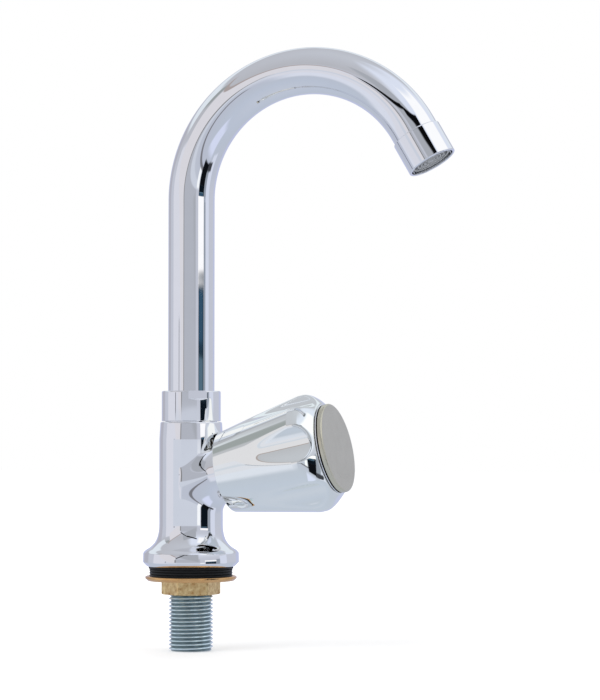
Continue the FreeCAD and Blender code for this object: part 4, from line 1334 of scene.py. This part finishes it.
# Each card: name, azimuth, half width, height, half height, edge, tilt, colour. Later ones hang
# in front of earlier ones.
CARDS = [
    ("left cloth's foot", -70, 33, -15, 14, 10, 0, (214, 219, 232)),
    ("left cloth", -70, 32, 3, 17, 3, 0, (214, 216, 226)),
    ("left cloth's top", -62, 22, 17, 12, 2, 0.42, (216, 215, 221)),
    ("fold in the cloth", -98, 9, 37, 4.5, 4, 0, (152, 158, 160)),
    ("cloth's hem", -70, 33, 31.6, 1.3, 0.8, 0.42, (168, 158, 157)),
    ("far left", -143, 18, 16, 22, 9, 0, (176, 177, 188)),
    ("high behind, left", -144, 36, 33, 8, 4, 0, (220, 228, 236)),
    ("high behind, right", 144, 36, 33, 9, 4, 0, (220, 228, 236)),
    ("behind", 178, 40, -4, 20, 8, 0, (186, 192, 218)),
    ("behind, left", -178, 24, -4, 20, 8, 0, (186, 192, 218)),
    ("tent opening", -8, 30, 6.3, 5.7, 0.5, 0, (176, 180, 190)),
    ("table in front", -8, 60, -2, 2.4, 1.8, 0, (202, 208, 220)),
    ("seam in front", -38.7, 1.6, 5, 4.4, 1.0, 0, (130, 130, 132)),
    ("glow around the lamp", 60, 68, 50, 28, 26, 0, (218, 225, 240)),
    ("room above the lens", -6, 24, 24, 14, 4, 0.3, (166, 170, 178)),
    ("boom's end", -25, 13, 21.5, 1.6, 1.0, -0.62, (10, 10, 12)),
    ("boom", 4, 18, 32.5, 2.6, 1.4, -0.3, (10, 10, 12)),
    ("table edge", 14, 46, -13, 1.5, 1.0, 0, (120, 121, 128)),
    ("seam at the left", -64, 1.4, 1.6, 1.2, 0.5, 0, (104, 105, 112)),
    ("right cloth", 85, 11, -5, 22, 3, 0, (210, 216, 232)),
    ("right cloth's edge", 68, 6, -3, 13, 3, 0, (146, 154, 166)),
    ("lamp through the cloth", 66, 38, 45, 14, 9, 0, (252, 253, 255)),
    ("bright table", 42, 20, -36, 11, 8, 0, (210, 217, 240)),
    ("table by the lens", 27.5, 5.5, -6, 5.5, 2, 0, (246, 249, 252)),
    ("strip's foot", 72, 11, -18, 3.5, 2.5, 0, (60, 62, 68)),
    ("strip's lower part", 49, 13.5, -11.5, 8.5, 2, 0, (14, 16, 20)),
    ("black strip", 49, 13.5, 2, 6, 1.5, 0, (12, 20, 28)),
    ("blue light in the strip", 48, 11, 2.9, 0.85, 0.7, 0, (50, 80, 104)),
    ("grey light in the strip", 48, 11, 1.45, 0.4, 0.3, 0, (82, 108, 126)),
    ("bright gap", 48.5, 15, 5.9, 2.1, 0.4, 0, (253, 253, 255)),
]
EVEN_LIGHT = 0.62


def light_of(colour):
    """The light that polished chrome shows as a colour of 0 to 255."""
    levels = [grey / 255 for grey in colour]
    return tuple(
        (level / 12.92 if level < 0.04045 else ((level + 0.055) / 1.055) ** 2.4) / MIRROR
        for level in levels
    )


def within(net, angle, middle, half, edge):
    """One inside a range of angles, zero outside it, with a soft edge."""
    inputs = {"Value": net.maths("ABSOLUTE", angle - math.radians(middle)),
              "From Min": math.radians(half + edge / 2),
              "From Max": math.radians(half - edge / 2), "To Min": 0.0, "To Max": 1.0}
    return net.node("ShaderNodeMapRange", {"interpolation_type": "SMOOTHSTEP"}, inputs)


def tent_light(net):
    """The colour of the tent in the direction of a ray."""
    ray = net.node("ShaderNodeTexCoord", output="Generated")
    across, toward, up = [
        net.vector_maths("DOT_PRODUCT", ray, axis, output=1) for axis in (RIGHT, FRONT, UP)
    ]
    around = net.maths("ARCTAN2", across, toward)
    rise = net.maths("ARCSINE", up)
    stops = [((degrees + 90) / 180, light_of(colour)) for degrees, colour in CLOTH]
    sky = ramp(net, rise / math.pi + 0.5, stops)
    for _, azimuth, half_width, height, half_height, edge, tilt, colour in CARDS:
        level = rise + (around - math.radians(azimuth)) * tilt if tilt else rise
        share = within(net, around, azimuth, half_width, edge) * within(
            net, level, height, half_height, min(edge, half_height)
        )
        sky = blend_colours(net, share, sky, light_of(colour))
    return sky


def tent():
    """The world: white to the camera, even light for dull surfaces, a tent in reflections."""
    world = bpy.data.worlds.new("tent")
    world.use_nodes = True
    world.node_tree.nodes.clear()
    bpy.context.scene.world = world
    net = Network(world.node_tree)
    path = net.node("ShaderNodeLightPath", output=None)
    sees_white = path["Is Camera Ray"] + path["Is Transmission Ray"]
    plain = blend_colours(net, sees_white, (EVEN_LIGHT,) * 3, (1.0,) * 3)
    light = blend_colours(net, path["Is Glossy Ray"], plain, tent_light(net))
    lit = net.node("ShaderNodeBackground", None, [light, 1.0])
    net.node("ShaderNodeOutputWorld", None, [lit])


tent()
print("cards in the tent:", len(CARDS))

# %% Lamps
AIM = Vector((0.02, 0, 0.09))
# Each lamp: direction from the front to the right, rise, distance and size in metres, power.
LAMPS = {
    "key_lamp": (-50, 40, 1.2, 0.8, 5.0),
    "fill_lamp": (60, 30, 1.3, 0.9, 3.0),
    "back_lamp": (170, 50, 1.3, 0.9, 3.0),
}
for name, (direction, rise, distance, size, power) in LAMPS.items():
    light = bpy.data.lights.new(name, "AREA")
    light.shape = "SQUARE"
    light.size = size
    light.energy = power
    turn, lift = math.radians(direction), math.radians(rise)
    toward = FRONT * math.cos(turn) + RIGHT * math.sin(turn)
    spot = toward * math.cos(lift) + UP * math.sin(lift)
    lamp = add_object(name, light)
    lamp.location = AIM + spot * distance
    lamp.rotation_euler = spot.to_track_quat("Z", "Y").to_euler()
    lamp.visible_glossy = False
print("lamps:", list(LAMPS))

# %% [markdown]
# The floor is a pale table that is nearly white in the photograph, with a faint shadow under the
# tap. To the camera it glows a little, less near the tap than far from it, so that the shadow
# shows there and the far table still meets the white behind it. It throws no light of that glow.

# %% Floor
FLOOR_HEIGHT = -40.1 * MM
FLOOR_REACH = 6.0
GLOW = [(0.12, 0.30), (0.75, EVEN_LIGHT)]


def floor_finish():
    """Pale floor: white to the camera, but it still darkens where the tap shades it."""
    material, net = new_finish("pale_floor")
    spot = place(net)
    cloud = noise(net, spot, 3.0)
    colour = blend_colours(net, cloud, (0.80, 0.80, 0.81), (0.84, 0.84, 0.84))
    dull = net.node("ShaderNodeBsdfDiffuse", None, {"Color": colour})
    level = ramp(net, net.vector_maths("LENGTH", spot, output=1), GLOW)
    path = net.node("ShaderNodeLightPath", output=None)
    inputs = {"Color": level, "Strength": path["Is Camera Ray"]}
    glow = net.node("ShaderNodeEmission", None, inputs)
    both = net.node("ShaderNodeAddShader", None, [dull, glow])
    net.node("ShaderNodeOutputMaterial", None, {"Surface": both})
    return material


mesh = bpy.data.meshes.new("floor")
corners = [(x * FLOOR_REACH, y * FLOOR_REACH) for x, y in [(-1, -1), (1, -1), (1, 1), (-1, 1)]]
mesh.from_pydata([(x, y, FLOOR_HEIGHT) for x, y in corners], [], [(0, 1, 2, 3)])
mesh.materials.append(floor_finish())
floor = add_object("floor", mesh)
floor.visible_glossy = False
print("floor at", round(FLOOR_HEIGHT, 4))

# %% View
bpy.context.scene.view_settings.view_transform = "Standard"
